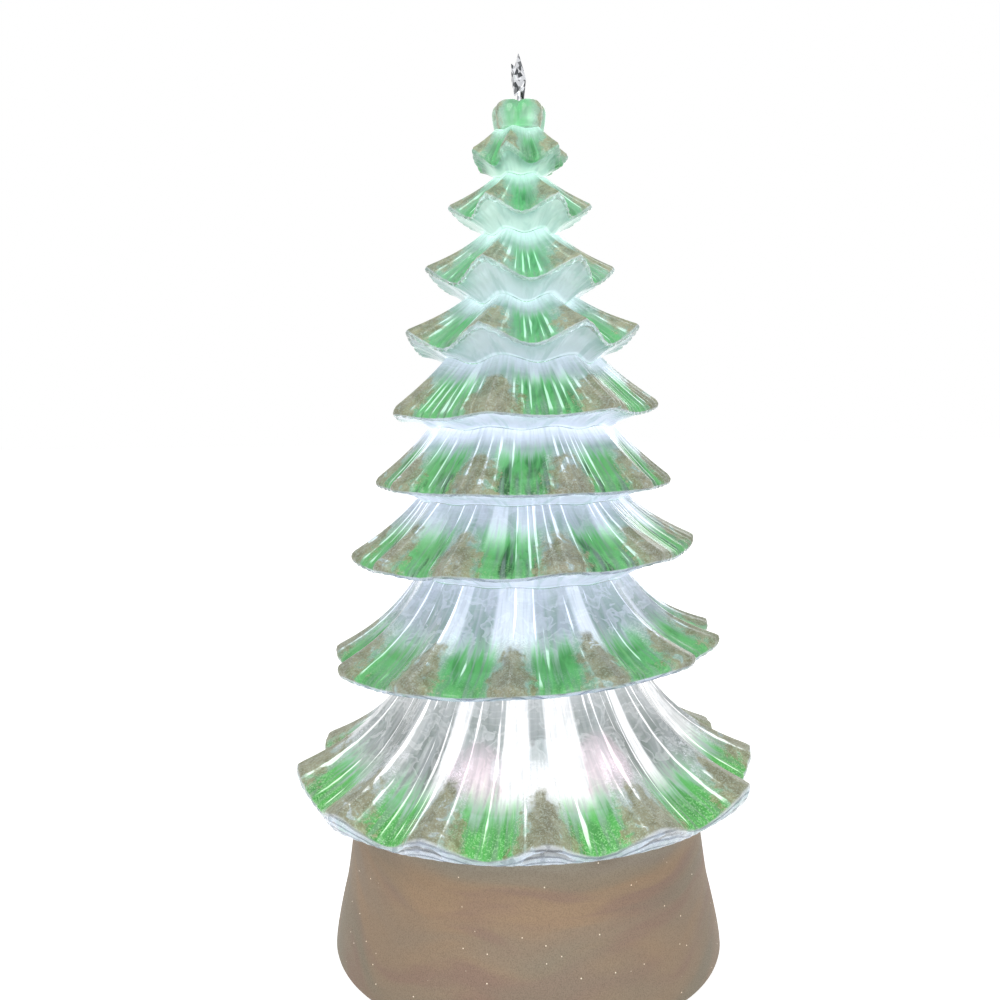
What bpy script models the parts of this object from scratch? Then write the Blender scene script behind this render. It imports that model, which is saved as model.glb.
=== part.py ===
# A lighted acrylic tree: nine fluted branch tiers stacked on a round, battery-powered base.
# Metres, +Z up. The origin is on the table, under the middle of the base; the front faces -Y.
import math

import bmesh
import bpy
from mathutils import Matrix, Vector

mm = 0.001

# Fits and walls shared by many pieces
seat_gap = 0.3 * mm          # clearance between pieces that rest on or in each other
cut_overrun = 2.0 * mm       # how far a cutter runs past the face that it opens
acrylic_wall = 2.6 * mm      # wall of the clear tier mouldings
bore_play = 0.3 * mm         # how much wider a bore is than the screw, pin or stem in it
weld_distance = 0.03 * mm    # points closer than this are one point

# Base housing, a turned shell that is open below
base_bottom_radius = 67.9 * mm
base_top_radius = 59.4 * mm
base_height = 54.0 * mm
base_wall = 3.0 * mm
base_rim_lift = 1.0 * mm     # the housing's lower edge clears the table by this much
base_edge_round = 3.4 * mm
base_side_shares = ((0.0, 0.0), (0.10, 0.05), (0.22, 0.18), (0.35, 0.36), (0.49, 0.57), (0.70, 0.77))
base_steps = 36

# Bottom cover, screwed to four bosses of the housing
plate_thickness = 3.0 * mm
plate_bottom = 2.5 * mm
boss_radius = 4.2 * mm
boss_setback = 15.5 * mm      # from the lower edge of the housing in to the bosses
boss_circle_radius = base_bottom_radius - boss_setback
boss_count = 4
screw_shank_radius = 1.2 * mm
screw_head_radius = 2.8 * mm
screw_head_height = 1.3 * mm
screw_length = 12.0 * mm

# Feet, soft pads stuck below the bottom cover
foot_radius = 7.0 * mm
foot_setback = 15.4 * mm      # from the lower edge of the housing in to the feet
foot_circle_radius = base_bottom_radius - foot_setback
foot_count = 4

# Battery bay for three AA cells lying side by side
cell_radius = 7.25 * mm
cell_length = 49.5 * mm
cell_shoulder = 0.8 * mm
cell_nub_radius = 2.75 * mm
cell_nub_length = 1.0 * mm
cell_spacing = 15.2 * mm
cell_count = 3
cell_steps = 12
bay_margin = 0.4 * mm
bay_centre_y = 6.0 * mm
tray_wall = 1.6 * mm
contact_thickness = 0.5 * mm
contact_height = 11.0 * mm
contact_width = 10.0 * mm
contact_button_radius = 2.4 * mm
contact_button_height = 0.8 * mm

# Battery door, hung on two pivots at the back of the bay
door_thickness = 2.4 * mm
door_play = 0.4 * mm
hinge_barrel_radius = 1.3 * mm
hinge_pin_radius = 0.7 * mm
hinge_pin_length = 1.6 * mm
finger_notch_radius = 5.0 * mm
grip_height = 0.5 * mm
grip_width = 1.0 * mm
grip_length = 16.0 * mm
grip_count = 4
grip_spacing = 2.4 * mm
grip_setback = 6.0 * mm

# Slide switch beside the bay
switch_centre_y = -34.5 * mm
switch_body_length = 14.0 * mm
switch_body_width = 7.0 * mm
switch_body_height = 5.0 * mm
knob_length = 4.4 * mm
knob_width = 3.6 * mm
knob_drop = 1.2 * mm         # how far the knob stands out below the cover
knob_travel = 2.0 * mm       # each way from the middle stop
knob_rib_depth = 0.4 * mm
knob_rib_width = 0.7 * mm
knob_rib_count = 3
board_thickness = 1.6 * mm
control_board_length = 26.0 * mm
control_board_width = 15.0 * mm

# Lamp in the middle of the deck
deck_hole_radius = 16.5 * mm
reflector_flange_radius = 19.5 * mm
reflector_wall = 1.2 * mm
reflector_depth = 7.0 * mm
reflector_mouth_radius = 14.6 * mm
reflector_floor_radius = 9.8 * mm
led_board_radius = 14.0 * mm
led_side = 5.0 * mm
led_height = 1.4 * mm
led_circle_radius = 4.6 * mm
led_count = 3
lens_radius = 18.6 * mm
lens_rim = 1.4 * mm
lens_rise = 6.0 * mm
lead_radius = 0.7 * mm
lead_spacing = 5.0 * mm
lamp_steps = 20

# Clear floor of the tree, which takes three screws from below the deck
floor_thickness = 3.4 * mm
floor_hole_radius = 22.0 * mm
tree_screw_circle_radius = 31.0 * mm
tree_screw_count = 3
tree_screw_turn = math.radians(23.0)
tree_screw_length = 5.6 * mm

# Star and crown
star_radius = 8.8 * mm
star_waist_radius = 4.1 * mm
star_half_depth = 2.6 * mm
star_stem_radius = 0.6 * mm
star_lift = 7.6 * mm         # from the crown's top to the middle of the star
stem_depth = 4.5 * mm
crown_radius = 9.4 * mm
crown_height = 9.4 * mm
crown_crease_share = 0.16
crown_dip_share = 0.78       # height of the stem's bore in the dip
star_turn = math.radians(73.0)
crown_crests = (-74.0, 0.0, 74.0, 146.0, 214.0)      # degrees; the creases between the puffs
crown_lobe_steps = 5
# Radius share, height share and how far the height sinks in a crease
crown_shares = ((0.90, 0.0, 0.0), (0.97, 0.24, 0.0), (1.0, 0.62, 0.0), (0.82, 0.93, 0.06), (0.50, 1.0, 0.08),
                (0.25, 0.86, 0.0))
lead_points = 12

# Where the rings of a tier's flare lie between its neck and its rim
long_flare_shares = (0.0, 0.16, 0.42, 0.72, 1.0)
short_flare_shares = (0.0, 0.30, 0.68, 1.0)

# Branch tiers, top to bottom. Each is a hollow ring that sits on the neck of the one below.
# Radii are shares of tree_reach; heights, drops, edges and leans are shares of tree_rise.
# A crest is a ridge that ends in an upturned corner; a fan is the fluted valley between two.
# drop: from the tier's top seam down to the rim's upper edge; edge: height of the rim's face.
# lean: how far the rim stands up on the right and sags on the left.
# sweep: how much the flare hollows; round: 0 for a sharp crest, 1 for a soft wave.
# crests: the ridges seen from the front, in degrees to the right of the front.
tree_rise = 225.0 * mm           # from the deck to the top seam of the uppermost tier
tree_reach = 80.0 * mm           # out to the corners of the lowest tier
tier_shares = (
    {"name": "branch_tier_1", "height": 0.068, "neck": 0.1075, "lean": 0, "sweep": 0.1, "round": 0.15,
     "tip_radius": 0.215, "tip_drop": 0.0293, "tip_edge": 0.008,
     "fan_radius": 0.1725, "fan_drop": 0.0493, "fan_edge": 0.0067,
     "crests": (-66, -14.5, 50, 104), "count": 6, "steps": 6, "rings": short_flare_shares},
    {"name": "branch_tier_2", "height": 0.0844, "neck": 0.1113, "lean": 0, "sweep": 0.15, "round": 0.1,
     "tip_radius": 0.305, "tip_drop": 0.0382, "tip_edge": 0.0084,
     "fan_radius": 0.245, "fan_drop": 0.0596, "fan_edge": 0.0071,
     "crests": (-88, -27.3, 31.9, 92), "count": 6, "steps": 6, "rings": short_flare_shares},
    {"name": "branch_tier_3", "height": 0.0996, "neck": 0.1625, "lean": 0, "sweep": 0.2, "round": 0.1,
     "tip_radius": 0.4075, "tip_drop": 0.0453, "tip_edge": 0.0089,
     "fan_radius": 0.3375, "fan_drop": 0.0729, "fan_edge": 0.0076,
     "crests": (-82, -21.6, 36.3, 97), "count": 6, "steps": 6, "rings": short_flare_shares},
    {"name": "branch_tier_4", "height": 0.0889, "neck": 0.2425, "lean": 0.0031, "sweep": 0.1, "round": 0.1,
     "tip_radius": 0.5025, "tip_drop": 0.0391, "tip_edge": 0.0098,
     "fan_radius": 0.4375, "fan_drop": 0.0667, "fan_edge": 0.008,
     "crests": (-72, -19, 31, 80), "count": 7, "steps": 6, "rings": short_flare_shares},
    {"name": "branch_tier_5", "height": 0.0982, "neck": 0.345, "lean": 0.0036, "sweep": 0.05, "round": 0.25,
     "tip_radius": 0.5825, "tip_drop": 0.064, "tip_edge": 0.0116,
     "fan_radius": 0.525, "fan_drop": 0.0764, "fan_edge": 0.008,
     "crests": (-64, -13.4, 38.4, 88), "count": 7, "steps": 6, "rings": long_flare_shares},
    {"name": "branch_tier_6", "height": 0.1067, "neck": 0.3975, "lean": 0, "sweep": 0.12, "round": 0.35,
     "tip_radius": 0.635, "tip_drop": 0.0764, "tip_edge": 0.0116,
     "fan_radius": 0.58, "fan_drop": 0.0836, "fan_edge": 0.0084,
     "crests": (-88, -55.8, -19.2, 19.2, 53.5, 88), "count": 10, "steps": 6, "rings": long_flare_shares},
    {"name": "branch_tier_7", "height": 0.1156, "neck": 0.46, "lean": 0.0089, "sweep": 0.22, "round": 0.5,
     "tip_radius": 0.7425, "tip_drop": 0.0693, "tip_edge": 0.0151,
     "fan_radius": 0.6825, "fan_drop": 0.0836, "fan_edge": 0.0089,
     "crests": (-80, -51.3, -23.4, 12.7, 46.5, 92), "count": 11, "steps": 6, "rings": long_flare_shares},
    {"name": "branch_tier_8", "height": 0.1467, "neck": 0.4575, "lean": 0.016, "sweep": 0.44, "round": 0.7,
     "tip_radius": 0.8375, "tip_drop": 0.1013, "tip_edge": 0.0187,
     "fan_radius": 0.78, "fan_drop": 0.1164, "fan_edge": 0.0093,
     "crests": (-65, -32, -4, 23, 50.4, 76, 100), "count": 13, "steps": 6, "rings": long_flare_shares},
    {"name": "branch_tier_9", "height": 0.192, "neck": 0.505, "lean": 0.0053, "sweep": 0.46, "round": 0.9,
     "tip_radius": 1, "tip_drop": 0.1387, "tip_edge": 0.0293,
     "fan_radius": 0.9325, "fan_drop": 0.1653, "fan_edge": 0.0107,
     "crests": (-84, -46, -22, 4, 29, 62, 92), "count": 13, "steps": 6, "rings": long_flare_shares},
)
radius_keys = ("neck", "tip_radius", "fan_radius")
height_keys = ("height", "lean", "tip_drop", "tip_edge", "fan_drop", "fan_edge")


def sized_tier(row):
    # The row with its shares turned into lengths.
    sizes = {key: row[key] * tree_reach for key in radius_keys}
    sizes.update({key: row[key] * tree_rise for key in height_keys})
    return {**row, **sizes}


tiers = [sized_tier(row) for row in tier_shares]
foot_neck_radius = 44.4 * mm     # where the lowest tier stands on the deck
flute_depth = 0.55 * mm          # grooves that run down each fan, deepest at the rim
belly_share = 0.62               # how far the hollow reaches out into a tier
belly_drop_share = 1.6           # how many walls the hollow lies below the flare
rim_inset_share = 0.5            # the rim's face leans in under a crest by this much of its height

full_turn = math.tau


# Small helpers

def clear_scene():
    for item in list(bpy.data.objects):
        bpy.data.objects.remove(item, do_unlink=True)
    for group in list(bpy.data.collections):
        bpy.data.collections.remove(group)


def make_collection(name):
    group = bpy.data.collections.new(name)
    bpy.context.scene.collection.children.link(group)
    return group


def make_finish(name, colour, roughness, metallic=0.0, clear=0.0):
    finish = bpy.data.materials.new(name)
    finish.use_nodes = True
    shader = finish.node_tree.nodes["Principled BSDF"]
    shader.inputs["Base Color"].default_value = (*colour, 1.0)
    shader.inputs["Roughness"].default_value = roughness
    shader.inputs["Metallic"].default_value = metallic
    shader.inputs["Transmission Weight"].default_value = clear
    finish.diffuse_color = (*colour, 1.0)
    return finish


def add_object(name, bm, finish, group, smooth_angle=None):
    bmesh.ops.recalc_face_normals(bm, faces=bm.faces)
    mesh = bpy.data.meshes.new(name)
    bm.to_mesh(mesh)
    bm.free()
    item = bpy.data.objects.new(name, mesh)
    group.objects.link(item)
    if finish:
        mesh.materials.append(finish)
    if smooth_angle is not None:
        mesh.shade_smooth()
        mesh.set_sharp_from_angle(angle=smooth_angle)
    return item


def as_cutter(item):
    item.hide_render = True
    item.display_type = "WIRE"
    return item


def boolean(target, other, operation):
    change = target.modifiers.new(operation.lower(), "BOOLEAN")
    change.operation = operation
    change.solver = "EXACT"
    change.object = other
    return change


def box(name, size, centre, finish, group, bevel=None):
    bm = bmesh.new()
    bmesh.ops.create_cube(bm, size=1.0)
    bmesh.ops.scale(bm, vec=size, verts=bm.verts)
    item = add_object(name, bm, finish, group)
    item.location = centre
    if bevel:
        soften = item.modifiers.new("soft edges", "BEVEL")
        soften.width = bevel
        soften.segments = 1
    return item


def rod(name, radius, bottom, top, place, finish, group, steps=16):
    bm = bmesh.new()
    bmesh.ops.create_cone(bm, cap_ends=True, segments=steps, radius1=radius, radius2=radius,
                          depth=top - bottom)
    item = add_object(name, bm, finish, group, smooth_angle=math.radians(40.0))
    item.location = (place[0], place[1], (bottom + top) / 2)
    return item


def turned(name, profile, finish, group, steps, closed=False):
    # The profile runs down the outer side; a closed one makes a ring.
    bm = bmesh.new()
    points = [bm.verts.new((radius, 0.0, height)) for radius, height in profile]
    for first, second in zip(points, points[1:]):
        bm.edges.new((first, second))
    if closed:
        bm.edges.new((points[-1], points[0]))
    mesh = bpy.data.meshes.new(name)
    bm.to_mesh(mesh)
    bm.free()
    item = bpy.data.objects.new(name, mesh)
    group.objects.link(item)
    if finish:
        mesh.materials.append(finish)
    spin = item.modifiers.new("turn", "SCREW")
    spin.axis = "Z"
    spin.angle = full_turn
    spin.steps = steps
    spin.render_steps = steps
    spin.use_merge_vertices = not closed
    spin.merge_threshold = weld_distance
    spin.use_smooth_shade = True
    return item


def around(radius, turn):
    # A place on a circle, with zero degrees at the front and the right side positive.
    return radius * math.sin(turn), -radius * math.cos(turn)


# Branch tiers

def spread_crests(front, count):
    # The ridges seen from the front are placed by eye; the rest share the back evenly.
    angles = [math.radians(angle) for angle in front]
    missing = count - len(angles)
    gap = (full_turn - (angles[-1] - angles[0])) / (missing + 1)
    return angles + [angles[-1] + gap * (index + 1) for index in range(missing)]


def widest_gap(crests):
    ends = crests[1:] + [crests[0] + full_turn]
    return max(end - start for start, end in zip(crests, ends))


def polygon_radius(corner_radius, crests, turn):
    # Radius of the straight-sided neck whose corners lie on the crests.
    for start, end in zip(crests, crests[1:] + [crests[0] + full_turn]):
        offset = (turn - start) % full_turn
        if offset <= end - start + 1e-9:
            half = (end - start) / 2
            return corner_radius * math.cos(half) / math.cos(offset - half)
    return corner_radius


def tier_turns(crests, steps):
    # Every lobe has the same number of steps, so each crest falls on a vertex.
    turns = []
    for start, end in zip(crests, crests[1:] + [crests[0] + full_turn]):
        for step in range(steps):
            share = step / steps
            turns.append((start + (end - start) * share, share, step))
    return turns


def ring_point(radius, turn, height):
    across, along = around(radius, turn)
    return Vector((across, along, height))


def flare_sag(reach, sweep):
    # How far the flare has dropped at a reach from the neck (0) to the rim (1).
    return reach + (1 - (1 - reach) ** 3 - reach) * sweep


def crest_height(share, rounding):
    # 1 on a crest and 0 in the middle of a fan, sharp or softly waved.
    sharp = 1 - math.sin(math.pi * share)
    soft = (1 + math.cos(full_turn * share)) / 2
    return sharp + (soft - sharp) * rounding


def make_tier(row, below, top, finish, group):
    # A loft from the polygonal neck through the lobed rim to the neck of the tier below.
    crests = spread_crests(row["crests"], row["count"])
    bottom = top - row["height"] + seat_gap
    if below:
        lower_crests = spread_crests(below["crests"], below["count"])
        lower_neck = below["neck"]
    else:
        lower_crests = crests
        lower_neck = foot_neck_radius
    top_bore = row["neck"] * math.cos(widest_gap(crests) / 2) - acrylic_wall
    bottom_bore = lower_neck * math.cos(widest_gap(lower_crests) / 2) - acrylic_wall
    bm = bmesh.new()
    rows = []
    for turn, share, step in tier_turns(crests, row["steps"]):
        crest = crest_height(share, row["round"])
        rim = row["fan_radius"] + (row["tip_radius"] - row["fan_radius"]) * crest
        drop = row["fan_drop"] + (row["tip_drop"] - row["fan_drop"]) * crest
        edge = row["fan_edge"] + (row["tip_edge"] - row["fan_edge"]) * crest
        neck = polygon_radius(row["neck"], crests, turn)
        groove = flute_depth if step % 2 else 0.0
        lean = row["lean"] * math.sin(turn)
        line = []
        for reach in row["rings"]:
            sag = flare_sag(reach, row["sweep"])
            radius = neck + (rim - neck) * reach - groove * reach
            line.append(ring_point(radius, turn, top - drop * sag + lean * reach))
        low = top - drop - edge + lean
        inset = (edge - row["fan_edge"]) * rim_inset_share
        line.append(ring_point(rim - groove - inset, turn, low))
        line.append(ring_point(polygon_radius(lower_neck, lower_crests, turn), turn, bottom))
        belly = top_bore + (row["fan_radius"] - acrylic_wall - top_bore) * belly_share
        belly_sag = flare_sag(belly_share, row["sweep"])
        belly_height = top - row["fan_drop"] * belly_sag - acrylic_wall * belly_drop_share
        belly_height += lean * belly_share
        line.append(ring_point(bottom_bore, turn, bottom))
        line.append(ring_point(max(belly, bottom_bore + seat_gap), turn, belly_height))
        line.append(ring_point(top_bore, turn, top))
        rows.append([bm.verts.new(point) for point in line])
    for left, right in zip(rows, rows[1:] + rows[:1]):
        for index in range(len(left)):
            following = (index + 1) % len(left)
            bm.faces.new((left[index], left[following], right[following], right[index]))
    return add_object(row["name"], bm, finish, group, smooth_angle=math.radians(50.0))


def make_crown(bottom, finish, group):
    # A small puffed tuft; its middle dips to take the star's stem.
    crests = [math.radians(angle) for angle in crown_crests]
    bore = star_stem_radius + bore_play
    bm = bmesh.new()
    rows = []
    for turn, share, step in tier_turns(crests, crown_lobe_steps):
        crease = 1 - math.sin(math.pi * share)
        side = crown_radius * (1 - crown_crease_share * crease)
        line = [(side * radius_share, bottom + crown_height * (height_share - sink_share * crease))
                for radius_share, height_share, sink_share in crown_shares]
        mouth = bottom + crown_height * crown_dip_share
        line.append((bore, mouth))
        line.append((bore, mouth - stem_depth - seat_gap))
        rows.append([bm.verts.new(ring_point(radius, turn, height)) for radius, height in line])
    for left, right in zip(rows, rows[1:] + rows[:1]):
        for index in range(len(left) - 1):
            bm.faces.new((left[index], left[index + 1], right[index + 1], right[index]))
    bm.faces.new([line[0] for line in rows])
    bm.faces.new([line[-1] for line in rows])
    return add_object("crown_tuft", bm, finish, group, smooth_angle=math.radians(50.0))


def make_star(centre_height, stem_bottom, finish, group, cutters):
    # Two low ten-sided cones back to back, every other corner drawn in, on a thin stem.
    bm = bmesh.new()
    for side in (1, -1):
        before = set(bm.verts)
        bmesh.ops.create_cone(bm, cap_ends=False, segments=10, radius1=star_radius, radius2=0.0,
                              depth=star_half_depth, matrix=Matrix.Translation((0, 0, star_half_depth / 2)))
        half = [vert for vert in bm.verts if vert not in before]
        if side < 0:
            bmesh.ops.scale(bm, vec=(1, 1, -1), verts=half)
    bmesh.ops.remove_doubles(bm, verts=bm.verts, dist=weld_distance)
    for vert in bm.verts:
        flat = math.hypot(vert.co.x, vert.co.y)
        if flat > seat_gap and round(math.atan2(vert.co.x, vert.co.y) / (full_turn / 10)) % 2:
            vert.co.x *= star_waist_radius / flat
            vert.co.y *= star_waist_radius / flat
    # The first point lies along +Y; stand the star up with that point at the top.
    bmesh.ops.transform(bm, matrix=Matrix.Rotation(math.pi / 2, 4, "X"), verts=bm.verts)
    star = add_object("star_finial", bm, finish, group)
    star.location.z = centre_height
    star.rotation_euler.z = star_turn
    stem = rod("star_stem", star_stem_radius, stem_bottom, centre_height, (0.0, 0.0), None, cutters, steps=10)
    boolean(star, as_cutter(stem), "UNION")
    return star


# Base housing and cover

def side_radius(height):
    # Outer radius of the housing's bellied side at a height above the table.
    share = height / base_height
    points = base_side_shares + ((1.0, 1.0),)
    for (low, inset), (high, more) in zip(points, points[1:]):
        if share <= high:
            taken = inset + (more - inset) * (share - low) / (high - low)
            return base_bottom_radius - (base_bottom_radius - base_top_radius) * taken
    return base_top_radius


def make_base(finish, group, cutters):
    shoulder = base_height - base_edge_round
    heights = [base_height * share for share, inset in reversed(base_side_shares) if share > 0]
    shoulder_radius = side_radius(shoulder)
    profile = [(deck_hole_radius, base_height)]
    for step in range(3):
        bend = math.pi / 2 * step / 2
        profile.append((shoulder_radius - base_edge_round * (1 - math.sin(bend)),
                        shoulder + base_edge_round * math.cos(bend)))
    profile += [(side_radius(height), height) for height in heights]
    profile.append((side_radius(base_rim_lift), base_rim_lift))
    profile.append((side_radius(base_rim_lift) - base_wall, base_rim_lift))
    profile += [(side_radius(height) - base_wall, height) for height in heights[::-2]]
    ceiling = base_height - base_wall
    profile.append((side_radius(ceiling) - base_wall, ceiling))
    profile.append((deck_hole_radius, ceiling))
    housing = turned("base_shell", profile, finish, group, base_steps, closed=True)
    boss_bottom = plate_bottom + plate_thickness + seat_gap
    for index in range(boss_count):
        place = around(boss_circle_radius, full_turn * (index + 0.5) / boss_count)
        boss = rod(f"boss_{index}", boss_radius, boss_bottom, ceiling + base_wall / 2, place, None, cutters,
                   steps=12)
        boolean(housing, as_cutter(boss), "UNION")
    for index in range(boss_count):
        place = around(boss_circle_radius, full_turn * (index + 0.5) / boss_count)
        hole = rod(f"boss_hole_{index}", screw_shank_radius + bore_play, boss_bottom - cut_overrun,
                   plate_bottom + screw_length + bore_play, place, None, cutters, steps=8)
        boolean(housing, as_cutter(hole), "DIFFERENCE")
    for index in range(tree_screw_count):
        place = around(tree_screw_circle_radius, tree_screw_turn + full_turn * index / tree_screw_count)
        hole = rod(f"deck_hole_{index}", screw_shank_radius + bore_play, ceiling - cut_overrun,
                   base_height + cut_overrun, place, None, cutters, steps=8)
        boolean(housing, as_cutter(hole), "DIFFERENCE")
    return housing


def make_screw(name, head_bottom, length, place, finish, group, cutters):
    # A pan-head screw that points up, with its head below.
    head = rod(name, screw_head_radius, head_bottom, head_bottom + screw_head_height, place, finish, group,
               steps=12)
    shank = rod(name + "_shank", screw_shank_radius, head_bottom + screw_head_height / 2,
                head_bottom + screw_head_height + length, place, None, cutters, steps=8)
    boolean(head, as_cutter(shank), "UNION")
    return head


# The battery bay: sizes that the tray, the door and the cover share
plate_top = plate_bottom + plate_thickness
bay_width = cell_spacing * (cell_count - 1) + (cell_radius + bay_margin) * 2
contact_depth = contact_thickness + contact_button_height
bay_length = cell_length + cell_nub_length + (contact_depth + seat_gap * 2) * 2
bay_front = bay_centre_y - bay_length / 2
bay_back = bay_centre_y + bay_length / 2
door_bottom = plate_bottom
door_top = door_bottom + door_thickness
cell_height = plate_top + seat_gap + cell_radius
tray_ceiling = cell_height + cell_radius + seat_gap
hinge_height = door_bottom + hinge_barrel_radius
hinge_y = bay_back - door_play - hinge_barrel_radius


def make_plate(finish, group, cutters):
    radius = side_radius(base_rim_lift) - base_wall - seat_gap * 2
    plate = rod("base_plate", radius, plate_bottom, plate_top, (0.0, 0.0), finish, group, steps=base_steps)
    middle = (0.0, bay_centre_y, plate_bottom + plate_thickness / 2)
    opening_size = (bay_width, bay_length, plate_thickness + cut_overrun * 2)
    opening = box("bay_opening", opening_size, middle, None, cutters)
    boolean(plate, as_cutter(opening), "DIFFERENCE")
    slot_size = (knob_length + knob_travel * 2 + seat_gap * 2, knob_width + seat_gap * 2,
                 plate_thickness + cut_overrun * 2)
    slot = box("knob_slot", slot_size, (0.0, switch_centre_y, middle[2]), None, cutters)
    boolean(plate, as_cutter(slot), "DIFFERENCE")
    pin_reach = bay_width / 2 - door_play + hinge_pin_length + seat_gap
    socket = rod("hinge_socket", hinge_pin_radius + bore_play, -pin_reach, pin_reach, (0.0, 0.0), None,
                 cutters, steps=10)
    socket.rotation_euler.y = math.pi / 2
    socket.location = (0.0, hinge_y, hinge_height)
    boolean(plate, as_cutter(socket), "DIFFERENCE")
    for index in range(boss_count):
        place = around(boss_circle_radius, full_turn * (index + 0.5) / boss_count)
        hole = rod(f"plate_hole_{index}", screw_shank_radius + bore_play, plate_bottom - cut_overrun,
                   plate_top + cut_overrun, place, None, cutters, steps=8)
        boolean(plate, as_cutter(hole), "DIFFERENCE")
    return plate


def make_tray(finish, group, cutters):
    bottom = plate_top + seat_gap
    height = tray_ceiling + tray_wall - bottom
    size = (bay_width + tray_wall * 2, bay_length + tray_wall * 2, height)
    tray = box("battery_tray", size, (0.0, bay_centre_y, bottom + height / 2), finish, group)
    hollow = (bay_width, bay_length, height - tray_wall + cut_overrun)
    hollow_centre = (0.0, bay_centre_y, bottom - cut_overrun + hollow[2] / 2)
    space = box("tray_hollow", hollow, hollow_centre, None, cutters)
    boolean(tray, as_cutter(space), "DIFFERENCE")
    return tray


def make_door(finish, group, cutters):
    # The door's origin is on its pivots; grip ribs stand on its lower face, well above the table.
    hinge = bpy.data.objects.new("door_hinge", None)
    group.objects.link(hinge)
    hinge.location = (0.0, hinge_y, hinge_height)
    width = bay_width - door_play * 2
    length = hinge_y - (bay_front + door_play)
    middle = (0.0, -length / 2, door_top - door_thickness / 2 - hinge_height)
    door = box("battery_door", (width, length, door_thickness), middle, finish, group)
    door.parent = hinge
    barrel = rod("door_barrel", hinge_barrel_radius, -width / 2, width / 2, (0.0, 0.0), None, cutters,
                 steps=14)
    barrel.rotation_euler.y = math.pi / 2
    barrel.location = hinge.location
    boolean(door, as_cutter(barrel), "UNION")
    pin_reach = width / 2 + hinge_pin_length
    pin = rod("door_pin", hinge_pin_radius, -pin_reach, pin_reach, (0.0, 0.0), None, cutters, steps=10)
    pin.rotation_euler.y = math.pi / 2
    pin.location = hinge.location
    boolean(door, as_cutter(pin), "UNION")
    notch = rod("finger_notch", finger_notch_radius, door_bottom - cut_overrun,
                door_bottom + door_thickness / 2, (0.0, bay_front + door_play), None, cutters, steps=20)
    boolean(door, as_cutter(notch), "DIFFERENCE")
    for index in range(grip_count):
        place = (0.0, bay_front + grip_setback + grip_spacing * index, door_bottom)
        rib = box(f"grip_{index}", (grip_length, grip_width, grip_height * 2), place, None, cutters)
        boolean(door, as_cutter(rib), "UNION")
    return door


def make_cell(index, finish, group):
    # A cell lies along Y; neighbours point opposite ways, so they join in series.
    half = cell_length / 2
    profile = [(0.0, half + cell_nub_length), (cell_nub_radius, half + cell_nub_length),
               (cell_nub_radius, half), (cell_radius - cell_shoulder, half),
               (cell_radius, half - cell_shoulder), (cell_radius, -half), (0.0, -half)]
    cell = turned(f"battery_{index + 1}", profile, finish, group, cell_steps)
    heading = 1 if index % 2 else -1
    cell.rotation_euler.x = -math.pi / 2 * heading
    cell.location = (cell_spacing * (index - (cell_count - 1) / 2),
                     bay_centre_y - cell_nub_length / 2 * heading, cell_height)
    return cell


def make_contact(name, cells, back, finish, group, cutters):
    # A pressed strip that stands against the tray's end wall, with a button for each cell.
    facing = -1 if back else 1
    wall = bay_back if back else bay_front
    columns = [cell_spacing * (cell - (cell_count - 1) / 2) for cell in cells]
    width = columns[-1] - columns[0] + contact_width
    centre = ((columns[0] + columns[-1]) / 2, wall + facing * (seat_gap + contact_thickness / 2), cell_height)
    strip = box(name, (width, contact_thickness, contact_height), centre, finish, group)
    for number, column in enumerate(columns):
        button = rod(f"{name}_button_{number}", contact_button_radius, -contact_button_height,
                     contact_button_height, (0.0, 0.0), None, cutters, steps=8)
        button.rotation_euler.x = math.pi / 2
        button.location = (column, wall + facing * (seat_gap + contact_thickness), cell_height)
        boolean(strip, as_cutter(button), "UNION")
    return strip


# Switch, lamp and leads

def make_switch(body_finish, knob_finish, board_finish, group, cutters):
    bottom = plate_top + seat_gap
    body = box("switch_body", (switch_body_length, switch_body_width, switch_body_height),
               (0.0, switch_centre_y, bottom + switch_body_height / 2), body_finish, group, bevel=seat_gap)
    knob_bottom = plate_bottom - knob_drop
    slide = bpy.data.objects.new("knob_slide", None)
    group.objects.link(slide)
    slide.location = (0.0, switch_centre_y, plate_top)
    height = plate_top - knob_bottom
    knob = box("switch_knob", (knob_length, knob_width, height), (0.0, 0.0, -height / 2), knob_finish, group)
    knob.parent = slide
    for index in range(knob_rib_count):
        shift = (index - (knob_rib_count - 1) / 2) * knob_rib_width * 2
        groove = box(f"knob_groove_{index}", (knob_rib_width, knob_width + cut_overrun, knob_rib_depth * 2),
                     (shift, switch_centre_y, knob_bottom), None, cutters)
        boolean(knob, as_cutter(groove), "DIFFERENCE")
    board_bottom = bottom + switch_body_height + seat_gap
    box("control_board", (control_board_length, control_board_width, board_thickness),
        (0.0, switch_centre_y, board_bottom + board_thickness / 2), board_finish, group)
    return board_bottom + board_thickness


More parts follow.
